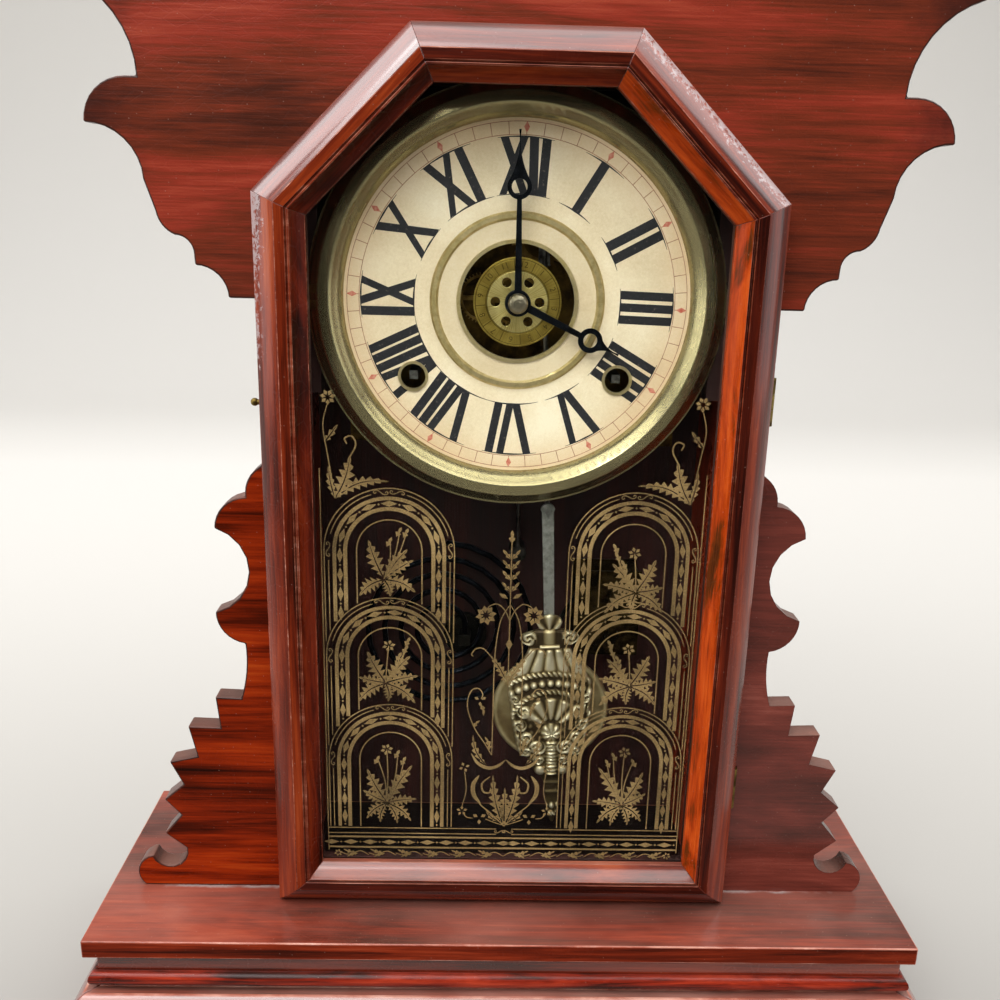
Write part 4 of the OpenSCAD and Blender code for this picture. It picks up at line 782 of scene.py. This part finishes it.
far, spot = round_about(18.6)
relief += 1.5 * bump_at(far - 37.9, 1.3) * (
    0.55 + 0.45 * np.cos(spot * 37.9 * 2.6 + (far - 37.9) * 2.0))
relief += 1.9 * bump_at(np.hypot(far - 33.4, (spot * 33.4 + 1.95) % 3.9 - 1.95), 1.8)
far, spot = round_about(9.1)
relief += 1.5 * bump_at(far - 19.7, 1.3) * (np.abs(spot) < 1.25) * (
    0.55 + 0.45 * np.cos(spot * 19.7 * 2.6 + far * 2.0))
far, spot = round_about(8.0)
relief += (1.5 * np.abs(np.cos(spot * 6.5)) ** 1.5 * np.clip((15.6 - far) / 0.8, 0, 1)
           * np.clip((far - 4.6) / 0.8, 0, 1) * (np.abs(spot) < 1.2))
shell, ribs = round_about(10.2)[0], round_about(11.2)[1]
relief += 1.9 * np.clip(1 - (shell / 5.0) ** 2, 0, 1) ** 0.6 * (0.7 + 0.3 * np.cos(9 * ribs))
relief += 1.3 * bump_at(x, 2.9) * between(-35, -15) * (0.65 + 0.35 * np.cos(2 * np.pi * z / 2.0))
for side in (-1, 1):
    for at, size, hand in (((9.9, 36.5), 4.4, 1), ((12.8, 0.4), 3.7, 1), ((14.6, -6.9), 3.5, -1),
                           ((12.4, -13.6), 4.0, 1), ((6.6, -18.6), 4.4, -1), ((12.0, -21.4), 3.2, 1),
                           ((6.0, -26.4), 3.0, 1), ((16.6, 6.4), 2.8, -1)):
        relief += 1.6 * rolled(x, z, (side * at[0], at[1]), size, 1.6, 0.9, side * hand)
    relief += 1.6 * bump_at(np.hypot(x - side * 5.6, z + 32.2), 2.7)
chased = np.cos(1.15 * np.abs(x) + 0.7 * z) * np.cos(0.95 * z - 0.6 * np.abs(x))
relief += (0.45 * np.clip(chased, 0, 1) * between(-27, -2)
           + 0.7 * bump_at(np.abs(u) - 0.95, 0.06) * between(-25, 31))
relief += 0.5 * bump_at((z % 5.2) - 2.6, 1.0) * between(-46, -35)
stamped("bob_cartouche", x, z, body + relief, body * 0.5, np.clip(0.72 - 0.6 * relief, 0, 1))

flat = bpy.data.curves.new("bob_stem", "CURVE")
flat.dimensions = "2D"
flat.fill_mode = "BOTH"
flat.extrude = 0.0006
flat.bevel_depth = 0.0002
STEM_FOOT, STEM_EYE, EYE_R = 38.0, 97.0, 3.1
hole = [(1.25 * cos(a), STEM_EYE + 1.6 * sin(a)) for a in np.radians(range(0, 360, 20))]
top = [(EYE_R * cos(a), STEM_EYE + 0.6 + EYE_R * sin(a)) for a in np.radians(range(10, 171, 16))]
blade = [(2.1, STEM_FOOT), (2.5, STEM_EYE)] + top + [(-2.5, STEM_EYE), (-2.1, STEM_FOOT)]
for ring in (blade, hole):
    edge = flat.splines.new("POLY")
    edge.use_cyclic_u = True
    edge.points.add(len(ring) - 1)
    for point, (a, b) in zip(edge.points, ring):
        point.co = (a / 1000, b / 1000, 0, 1)
blank = shown("bob_stem_blank", flat)
shape = bmesh.new()
shape.from_mesh(meshed(blank))
bpy.data.objects.remove(blank)
bmesh.ops.remove_doubles(shape, verts=shape.verts, dist=1e-6)
for vert in shape.verts:
    vert.co = BOB @ Vector((1000 * vert.co.x, -1000 * vert.co.z, 1000 * vert.co.y)) / 1000
zinc = metal("dull_zinc_stem", "#a9aaa2", "#7d7e76", 0.4, 7.0)
placed("bob_stem", shape, [zinc], "pendulum")

# Door: six lengths of moulding mitred round the pane, stained and shellacked like the case, with
# thin strips behind that hold the glass. It swings on the butts at the right.
DOOR_STAIN = [(0.5, "#240903"), (0.62, "#481407"), (0.74, "#6d220c"), (0.87, "#8e3514"),
              (1.0, "#a64a22")]
# Lit and shaded copies of the door stain: a darker stain is painted shade, a brighter orange is painted
# light.
DOOR_PAINTED_SHADE = [(0.5, "#190603"), (0.62, "#380f05"), (0.74, "#591909"), (0.87, "#782810"),
              (1.0, "#953c1b")]
DOOR_FLATS_IN_SHADE = [(0.5, "#140504"), (0.66, "#2a0b06"), (0.82, "#4d170b"), (1.0, "#762812")]
DOOR_PAINTED_LIGHT = [(0.5, "#2e1504"), (0.66, "#5e2a08"), (0.76, "#a5380c"), (0.87, "#c24c15"),
               (1.0, "#d26426")]
DOOR_WEAR_AND_HIGHLIGHT = [(0.55, "#4c1a0f"), (0.7, "#6f2d1a"), (0.88, "#9b5a43"), (1.0, "#c08a78")]
RISING = (0, radians(45), 0)
FALLING = (0, radians(-45), 0)


def flaked(outward, edge, share, steep=130.0):
    """Shellac lost in small grey flakes along the outer half of a bevel."""
    def marks(add, where, colour):
        reach = add("VectorMath.DOT_PRODUCT", where, outward).outputs["Value"]
        near = add("Math.MULTIPLY_ADD", reach, steep, 0.5 + share - steep * edge)
        chips = add("TexNoise", Vector=where, Scale=1000 / 2.2, Detail=5.0, Roughness=0.75)
        zones = add("TexNoise", Vector=where, Scale=1000 / 45, Detail=2.0)
        chips = add("Math.MULTIPLY_ADD", zones, 0.5, chips)
        chips = add("Math.MULTIPLY_ADD", near, 0.35, chips)
        lost = add("ValToRGB", chips, stops=[(0.9, 0.0), (0.98, 0.75)])
        return add("MixRGB", lost, colour, "#b7aaaa")
    return marks


# Rubbed arrises of the door: pale wear, with a painted highlight in the palest tones.
worn_highlit_moulding = stained_wood("rubbed_highlit_moulding_wood", LEVEL, 20.3, DOOR_WEAR_AND_HIGHLIGHT, streak=(25, 6))
# Painted light and shade by piece: flats facing the camera take painted shade, the left inner bevels
# painted shade, the right ones painted light; the left diagonal's bevel takes the painted shade under
# its sheen.
for (node, turn, seed, outward, share, sheen, film, bevel_tone, flat_tone, inner_tone,
     inner_sheen) in (
        ("door_left_stile", UPRIGHT, 9.3, (-1, 0, 0.07), 0.5, 0.2, 1.7,
         DOOR_STAIN, DOOR_STAIN, DOOR_PAINTED_SHADE, 0.02),
        ("door_right_stile", UPRIGHT, 11.6, (1, 0, 0), -0.6, 0.7, 1.7,
         DOOR_STAIN, DOOR_FLATS_IN_SHADE, DOOR_PAINTED_LIGHT, 0.02),
        ("door_bottom_rail", LEVEL, 13.1, (0, 0, -1), -0.6, 0.2, 1.7,
         DOOR_STAIN, DOOR_FLATS_IN_SHADE, DOOR_STAIN, 0.8),
        ("door_top_rail", LEVEL, 14.9, (0, 0, 1), -0.6, 1.0, 1.7,
         DOOR_STAIN, DOOR_FLATS_IN_SHADE, DOOR_STAIN, 0.02),
        ("door_left_diagonal", RISING, 16.2, (-0.7, 0, 0.7), -0.5, 1.0, 2.1,
         DOOR_PAINTED_SHADE, DOOR_STAIN, DOOR_PAINTED_SHADE, 0.02),
        ("door_right_diagonal", FALLING, 18.5, (0.7, 0, 0.7), 0.5, 0.85, 1.7,
         DOOR_STAIN, DOOR_FLATS_IN_SHADE, DOOR_PAINTED_LIGHT, 0.02)):
    outward = Vector(outward).normalized()
    edge = max(vert.co.dot(outward) for vert in frame["nodes"][node].data.vertices)
    bevel = stained_wood("red_bevel_" + node, turn, seed, bevel_tone, (140, 6), gloss=sheen,
                         marks=flaked(outward, edge, share), film=film)
    flats = stained_wood("dark_flat_" + node, turn, seed + 0.7, flat_tone, (140, 6), gloss=0.04,
                         ior=1.16)
    inner = stained_wood("red_inner_" + node, turn, seed + 1.3, inner_tone, (60, 8), gloss=inner_sheen,
                         ior=1.16)
    run = Vector((cos(turn[1]), 0, sin(turn[1])))
    eased(node, [bevel, flats, inner], 0.35,
          lambda face: 1 if abs(face.normal.y) > 0.97 else 0 if face.normal.dot(outward) > 0.2 else 2,
          worn_highlit_moulding, run)
eased("glazing_strips", [inner_pine], 0.2)

glass, add, shader = finish("old_window_glass", Transmission_Weight=1.0, Roughness=0.0, IOR=1.08)
feed(shader, Base_Color="#fbfcfa")
lamp_ray = add("LightPath").outputs["Is Shadow Ray"]
clear = add("BsdfTransparent", Color="#f6f8f5")
mixed = add("MixShader", lamp_ray, shader.outputs[0], clear)
feed(glass.node_tree.nodes["Material Output"], Surface=mixed)
eased("door_glass", [glass])

# Stencil: arches, sprays and scrolls in gold bronze paint on the back of the pane, laid through
# cut stencils, so each leaf has a bare midrib and saw-toothed edges.
bronze, add, shader = finish("gold_bronze_paint", Metallic=0.25, IOR=1.45)
where = add("TexCoord").outputs["Object"]
grit = add("TexNoise", Vector=where, Scale=1000 / 0.7, Detail=3.0)
clouds = add("TexNoise", Vector=where, Scale=1000 / 24, Detail=3.0)
blend = add("Math.MULTIPLY_ADD", grit, 0.6, clouds)
feed(shader, Base_Color=add("ValToRGB", blend, stops=[(0.5, "#4f3f25"), (0.78, "#775f3a"),
                                                      (1.0, "#987d53")]),
     Roughness=add("Math.MULTIPLY_ADD", grit, 0.3, 0.35))


def spline(points, steps=7):
    """A smooth path through points."""
    p = [np.array(q, float) for q in points]
    p = [2 * p[0] - p[1]] + p + [2 * p[-1] - p[-2]]
    path = [0.5 * (2 * b + (c - a) * t + (2 * a - 5 * b + 4 * c - d) * t * t
                   + (3 * b - a - 3 * c + d) * t ** 3)
            for a, b, c, d in zip(p, p[1:], p[2:], p[3:]) for t in np.arange(steps) / steps]
    return np.array(path + [p[-2]])


def line(points, wide=0.45, ends=0.8):
    """A painted line of a width in mm along a path, thinner at its ends."""
    path = np.array(points, float)
    along = np.gradient(path, axis=0)
    along /= np.linalg.norm(along, axis=1)[:, None] + 1e-9
    side = np.stack([-along[:, 1], along[:, 0]], 1)
    half = (wide / 2 * (1 - (1 - ends) * np.abs(np.linspace(-1, 1, len(path))) ** 3))[:, None]
    return [tuple(q) for q in np.vstack([path + side * half, (path - side * half)[::-1]])]


def vine(wide, *points, ends=0.8):
    """A painted line along a smooth path."""
    return [line(spline(points), wide, ends)]


def leaf(base, tip, wide, teeth=5, bend=0.0, rib=0.6):
    """Two saw-edged halves of a leaf with its bare midrib between them."""
    base, tip = np.array(base, float), np.array(tip, float)
    axis = tip - base
    side = np.array((-axis[1], axis[0]))
    t = np.linspace(0, 1, 5 * teeth + 1)
    middle = base + np.outer(t, axis) + np.outer(bend * np.sin(np.pi * t), side)
    side = side / np.linalg.norm(side)
    saw = 0.24 + 0.76 * ((t * teeth) % 1.0)
    swell = 1.5 * wide / 2 * np.sin(np.pi * (0.02 + 0.98 * t) ** 0.95) * saw
    slit = rib / 2 * np.clip(1.15 - t, 0, 1)
    halves = []
    for s in (1, -1):
        edge = middle + s * np.outer(np.maximum(swell, slit + 0.05), side)
        bare = middle + s * np.outer(slit, side)
        halves.append([tuple(q) for q in np.vstack([edge, bare[::-1]])])
    return halves


def lozenge(middle, tip, wide):
    """A four-cornered mark from its middle out to a tip."""
    m, t = np.array(middle, float), np.array(tip, float)
    side = np.array((m[1] - t[1], t[0] - m[0]))
    side *= wide / 2 / np.linalg.norm(side)
    return [tuple(q) for q in (t, m + side, 2 * m - t, m - side)]


def flower(x, z, r, petals=8):
    """Petals round a bare eye."""
    spokes = [(2 * pi * (k + 0.25) / petals) for k in range(petals)]
    return [lozenge((x + 0.62 * r * cos(a), z + 0.62 * r * sin(a)),
                    (x + r * cos(a), z + r * sin(a)), 0.52 * r) for a in spokes]


def curl(x, z, size, turn=0.0, hand=1):
    """An S-scroll with both ends rolled in."""
    half = [(0, 0), (0.34, 0.2), (0.72, 0.22), (0.94, 0.0), (0.82, -0.2), (0.62, -0.14), (0.66, 0.02)]
    path = spline([(-a, -b) for a, b in half[:0:-1]] + half, 5) * size
    c, q = cos(turn), sin(turn)
    return line([(x + hand * (a * c - b * q), z + a * q + b * c) for a, b in path], 0.42)


PAINT = -6.0 + FACE + 0.03
ARCH_X = -51.7
ARCHES = (170.4, 121.7, 71.4)
ARCH_R, BORDER, CHAIN = 28.4, 25.7, 20.9
SILL, LEFT_EDGE = 37.2, -80.3


def arch(middle, r, foot, steps=28):
    """A path up one side of an arch, over its round head and down the other side."""
    head = [(ARCH_X + r * cos(a), middle + r * sin(a)) for a in np.linspace(pi, 0, steps)]
    rise = np.linspace(0, 1, 8)[:-1]
    return ([(ARCH_X - r, foot + (middle - foot) * t) for t in rise] + head
            + [(ARCH_X + r, middle + (foot - middle) * t) for t in rise[1:]] + [(ARCH_X + r, foot)])


left, centre, chains = [], [], []
for k, middle in enumerate(ARCHES):
    below = ARCHES[k + 1] if k < 2 else None

    def foot(r):
        """Where a line of the arch stands on the arch below, or on the sill."""
        return below + sqrt(ARCH_R ** 2 - r * r) if below else SILL

    for r, wide in ((27.5, 0.5), (23.2, 1.6), (18.6, 1.7), (13.8, 0.55)):
        left.append(line(arch(middle, r, foot(r)), wide, 1.0))
    chains.append(arch(middle, CHAIN, foot(CHAIN) + 1.0))
    for a0, a1 in ((2.86, 1.86), (1.28, 0.28)):
        left.append(line([(ARCH_X + BORDER * cos(a), middle + BORDER * sin(a))
                          for a in np.linspace(a0, a1, 16)], 0.45))
    for s in (-1, 1):
        side = np.linspace(foot(BORDER), middle - 4.6, 9)
        left.append(line([(ARCH_X + s * BORDER, z) for z in side], 0.45))
        left.append(curl(ARCH_X + s * 25.8, middle + 0.4, 3.4, radians(90), s))
        left.append(curl(ARCH_X + s * 3.4, middle + 25.6, 3.2, radians(-6) * s, s))

SPRAYS = [
    ((-54.1, 157.8), [(-60.5, 175.1, 5.6), (-44.1, 171.3, 5.6), (-41.4, 166.6, 4.2), (-64.6, 150.1, 5.8),
                      (-40.7, 152.1, 5.8), (-51.4, 149.9, 4.6)],
     [(-47.2, 179.4), (-44.3, 179.0), (-51.3, 174.9)], None),
    ((-53.7, 109.4), [(-61.5, 124.2, 6.2), (-65.4, 111.9, 5.0), (-65.6, 100.3, 5.6), (-52.6, 100.4, 4.2),
                      (-40.7, 99.7, 5.6), (-39.4, 112.9, 5.0), (-43.0, 122.3, 5.8)],
     [(-43.6, 129.6), (-44.6, 125.9), (-47.4, 122.4)], (-52.2, 127.0)),
    ((-53.6, 49.6), [(-42.0, 68.8, 5.8), (-62.3, 66.6, 5.8), (-64.2, 55.8, 4.8), (-40.0, 51.6, 4.8),
                     (-42.6, 40.2, 4.6), (-48.8, 38.8, 3.6), (-56.6, 39.2, 3.6), (-62.8, 41.2, 4.6)],
     [(-48.4, 74.8), (-45.6, 71.4), (-57.4, 71.8)], (-53.4, 76.6)),
]


def spray(heart, leaves, buds, bloom, lift=0.0):
    """Leaves, buds and a bloom that spring from one point, lifted by so many mm."""
    marks = []
    for x, z, wide in leaves:
        bend = 0.10 if (x - heart[0]) * (z - heart[1]) < 0 else -0.10
        base = (0.95 * heart[0] + 0.05 * x, 0.95 * heart[1] + 0.05 * z)
        marks += leaf(base, (x, z), wide, 6, bend if z < heart[1] else 0.03)
    for x, z in buds:
        marks += vine(0.5, heart, ((heart[0] + x) / 2 + 1.2, (heart[1] + z) / 2), (x, z))
        marks += leaf((x - 1.6, z - 2.6), (x + 0.7, z + 1.6), 2.2, 2, 0.0, 0.0)
    if bloom:
        marks += vine(0.5, heart, (heart[0] + 0.6, (heart[1] + bloom[1]) / 2), bloom)
        marks += flower(*bloom, 2.9, 6)
    return [[(x, z + lift) for x, z in ring] for ring in marks]


left_sprays = spray(*SPRAYS[0]) + spray(*SPRAYS[1]) + spray(*SPRAYS[2])
right_sprays = spray(*SPRAYS[1], ARCHES[0] - ARCHES[1] - 4.5) + spray(*SPRAYS[1]) + spray(*SPRAYS[2])

left.append(line([(LEFT_EDGE, z) for z in np.linspace(24.5, 206, 24)], 0.5))
corner = (-74.0, 193.2)
left += leaf(corner, (-51.8, 200.8), 4.4, 8, 0.13)
left += leaf(corner, (-67.6, 211.5), 6.2, 6, -0.06)
left += leaf(corner, (-76.6, 207.0), 3.0, 5, 0.04)
left += vine(0.7, (-67.6, 211.0), (-65.2, 216.0), (-66.6, 219.6), (-69.6, 218.8), (-68.8, 216.4))
left += vine(0.5, corner, (-76.8, 212.0), (-78.4, 224.0), (-76.6, 232.5))
left += flower(-76.2, 235.6, 3.3, 7)
left += leaf((-77.8, 217.0), (-72.4, 224.4), 2.6, 3)

for z, wide, end in ((36.4, 0.5, -3.5), (33.6, 0.5, -3.5), (31.6, 0.9, 0), (26.2, 0.9, 0)):
    left.append(line([(x, z) for x in np.linspace(LEFT_EDGE, end, 20)], wide, 1.0))
left.append(curl(-1.8, 35.0, 2.6, 0, 1))
chains.append([(x, 28.9) for x in np.linspace(-79.0, 0.0, 24)])
for k in range(6):
    x = -6.0 - 12.4 * k
    left += vine(0.45, (x + 6.0, 22.0), (x + 2.0, 24.0), (x - 3.0, 22.2), (x - 6.4, 23.0))
    left += leaf((x, 23.2), (x - 5.6, 24.9), 1.8, 3, 0.06, 0.0)
    left += leaf((x + 1.0, 22.8), (x - 4.0, 21.0), 1.6, 3, -0.06, 0.0)
left += flower(-76.0, 23.0, 2.0, 6)

left += vine(0.5, (0, 147.2), (-3.6, 140.5), (-5.4, 131.0), (-6.2, 118.0), (-6.3, 96.0), (-6.4, 74.4))
left += vine(0.5, (0, 139.6), (-2.2, 144.4), (-5.4, 147.2), (-8.6, 146.4), (-10.0, 144.6))
left += flower(-10.3, 142.0, 4.6, 8)
for z in (170.0, 165.4, 160.6, 155.4):
    left += leaf((-0.2, z - 2.4), (-3.7, z + 1.9), 1.9, 2, 0.0, 0.25)
left.append(lozenge((-3.0, 151.0), (-5.0, 152.2), 2.0))
left += leaf((0, 108.6), (-8.2, 123.4), 3.6, 7, -0.05)
left += vine(0.55, (-8.0, 123.0), (-11.2, 126.4), (-14.4, 126.2), (-16.2, 123.6), (-15.4, 122.6))
left += vine(0.5, (-6.4, 74.4), (-9.6, 80.2), (-13.9, 87.0), (-17.0, 95.0), (-17.6, 101.2),
             (-15.8, 106.4), (-12.8, 107.2), (-11.0, 104.6), (-11.6, 102.4))
left += flower(-12.0, 101.6, 3.0, 3) + leaf((-12.0, 99.8), (-10.4, 94.0), 1.8, 2, 0.1, 0.0)
left += leaf((-14.6, 88.0), (-12.0, 91.6), 1.7, 2, 0.12, 0.0)
left += leaf((-7.6, 76.6), (-9.6, 83.6), 2.2, 3, -0.1, 0.0)
left += vine(1.6, (-15.6, 75.2), (-12.6, 70.4), (-8.0, 68.0), (-3.6, 69.0), (0, 72.2), ends=0.1)
left += leaf((-9.0, 69.6), (-15.0, 84.4), 2.8, 5, 0.1)
left += leaf((0, 37.6), (-5.6, 64.4), 4.6, 8, 0.05)
left += vine(0.6, (0, 38.0), (-6.0, 44.4), (-11.4, 49.6), (-14.6, 56.0), (-14.0, 61.4), (-11.8, 64.0))
left += vine(2.0, (-10.8, 49.4), (-14.0, 54.0), (-14.4, 59.4), (-11.8, 64.0), ends=0.1)
left += vine(0.9, (-6.8, 63.6), (-10.4, 60.0), (-9.8, 55.8), (-7.0, 55.4), (-6.4, 57.8), ends=0.4)
left += leaf((-2.4, 40.4), (-8.4, 46.2), 2.2, 3, 0.1) + flower(-11.4, 42.2, 3.4, 3)
left += vine(0.5, (-8.6, 41.6), (-5.0, 40.0), (-1.0, 38.6))
left += vine(0.42, (-18.4, 66.0), (-17.6, 56.4), (-19.4, 48.2))
left += flower(-18.6, 68.2, 2.6, 4) + flower(-19.4, 45.8, 2.6, 5)
left += vine(0.42, (-14.4, 42.0), (-17.0, 42.4), (-18.8, 44.4))
centre.append(line([(0, z) for z in np.linspace(108.4, 177.0, 18)], 0.5))
centre.append(lozenge((0, 128.6), (0, 131.4), 3.0))
centre += leaf((0, 174.6), (0, 180.6), 2.4, 2, 0.0, 0.0)
centre += leaf((0, 37.4), (0, 58.0), 4.2, 7)
rings = centre + left + left_sprays + [[(-x, z) for x, z in ring] for ring in left + right_sprays]
skin("gold_stencil", rings, PAINT, bronze, "door", FLOOR, 0.01)

chain_tree, add, given = maker("lozenge_chain_along_a_line", Geometry="Geometry", Pitch="Float",
                               Length="Float", Width="Float", Knot="Float")
path = add("MeshToCurve", Mesh=given["Geometry"])
path = add("ResampleCurve", Curve=path, Length=add("Math.MULTIPLY", given["Pitch"], 0.5), mode="LENGTH")
facing = add("AlignRotationToVector", Vector=add("InputTangent"), axis="X", pivot_axis="Y")
second = add("Math.MODULO", add("InputIndex"), 2.0)
first = add("Math.SUBTRACT", 1.0, second)
both = add("JoinGeometry")
for chosen, wide, long in ((first, given["Width"], given["Length"]),
                           (second, given["Knot"], given["Knot"])):
    mark = add("MeshCircle", Vertices=4, Radius=0.5, fill_type="NGON")
    mark = add("Transform", Geometry=mark, Scale=add("CombineXYZ", long, wide, 1.0))
    mark = add("Transform", Geometry=mark, Rotation=(radians(90), 0, 0))
    feed(both, add("InstanceOnPoints", Points=path, Selection=chosen, Instance=mark, Rotation=facing))
made(add, given, both)
guide = bpy.data.meshes.new("chain_guide")
points, edges = [], []
for path in chains + [[(-x, z) for x, z in path] for path in chains]:
    edges += [(len(points) + i, len(points) + i + 1) for i in range(len(path) - 1)]
    points += [(x / 1000, PAINT / 1000, (z + FLOOR) / 1000) for x, z in path]
guide.from_pydata(points, edges, [])
noded("gold_chains", chain_tree, "door", "aged_brass", guide, Pitch=0.0086, Length=0.0070,
      Width=0.0026, Knot=0.0011, Material=bronze)

# Studio: a pale floor that sweeps up behind under a wide ceiling lamp, with a soft key lamp in
# front and weak fills at both sides, a pale backdrop, and the camera where the photo was taken.
sweep = bmesh.new()
NEAR, BEND, SWEEP_R, TOP, HALF = -3.0, 1.4, 0.8, 4.0, 4.0
bend = np.radians(np.arange(7.5, 91, 7.5))
path = [(BEND + SWEEP_R * sin(a), SWEEP_R - SWEEP_R * cos(a)) for a in bend]
path = [(NEAR, 0.0), (BEND, 0.0)] + path + [(BEND + SWEEP_R, TOP)]
rows = [[sweep.verts.new((x, y, z)) for x in (-HALF, HALF)] for y, z in path]
for low, high in zip(rows, rows[1:]):
    sweep.faces.new((low[0], low[1], high[1], high[0])).smooth = True
floor = shown("studio_floor", sweep)
paper, add, shader = finish("pale_studio_paper", Roughness=0.85, IOR=1.3)
depth = add("SeparateXYZ", add("TexCoord").outputs["Object"]).outputs["Y"]
shade = add("ValToRGB", add("Math.MULTIPLY_ADD", depth, 0.4, 0.2),
            stops=[(0.06, "#5f5c58"), (0.22, "#a5a29d"), (0.6, "#dedbd6")])
feed(shader, Base_Color=shade)
floor.data.materials.append(paper)

world = bpy.data.worlds.new("studio_air")
bpy.context.scene.world = world
world.use_nodes = True
add, nodes = partial(put, world.node_tree), world.node_tree.nodes
soft = feed(nodes["Background"], Color="#f4f2ee", Strength=0.15)
backdrop = add("Background", Color="#dedbd6", Strength=0.8)
mixed = add("MixShader", add("LightPath").outputs["Is Camera Ray"], soft, backdrop)
feed(nodes["World Output"], Surface=mixed)


def lamp(name, place, aim, size, power):
    """A rectangular soft lamp of a size in metres and a power in watts, turned to its aim."""
    light = bpy.data.lights.new(name, "AREA")
    light.shape = "RECTANGLE"
    light.size, light.size_y = size
    light.energy = power
    holder = shown(name, light)
    holder.location = place
    holder.rotation_euler = (Vector(aim) - Vector(place)).to_track_quat("-Z", "Y").to_euler()


DIAL_FOOT = (0, 0, 0.3)
lamp("ceiling", (0.0, -0.25, 1.75), (0.0, -0.25, 0), (4.8, 2.2), 108)
lamp("front_key", (-0.55, -1.25, 1.45), DIAL_FOOT, (1.2, 0.9), 15)
lamp("left_fill", (-1.7, -0.45, 0.4), DIAL_FOOT, (1.0, 1.2), 12)
lamp("right_fill", (1.7, -0.5, 0.45), DIAL_FOOT, (1.0, 1.2), 4.5)

FILM, FOCAL = 36.0, 1.0032
STANDPOINT = (-0.0148, -0.4244, 0.3637)
lens = bpy.data.cameras.new("photo_camera")
lens.sensor_width = FILM
lens.lens = FILM * FOCAL
eye = shown("photo_camera", lens)
yaw, pitch, roll = (radians(a) for a in (1.320, 15.961, 1.448))
eye.matrix_world = (Matrix.Translation(STANDPOINT) @ Matrix.Rotation(-yaw, 4, "Z")
                    @ Matrix.Rotation(radians(90) - pitch, 4, "X") @ Matrix.Rotation(roll, 4, "Z"))
bpy.context.scene.camera = eye
bpy.context.scene.view_settings.view_transform = "Standard"
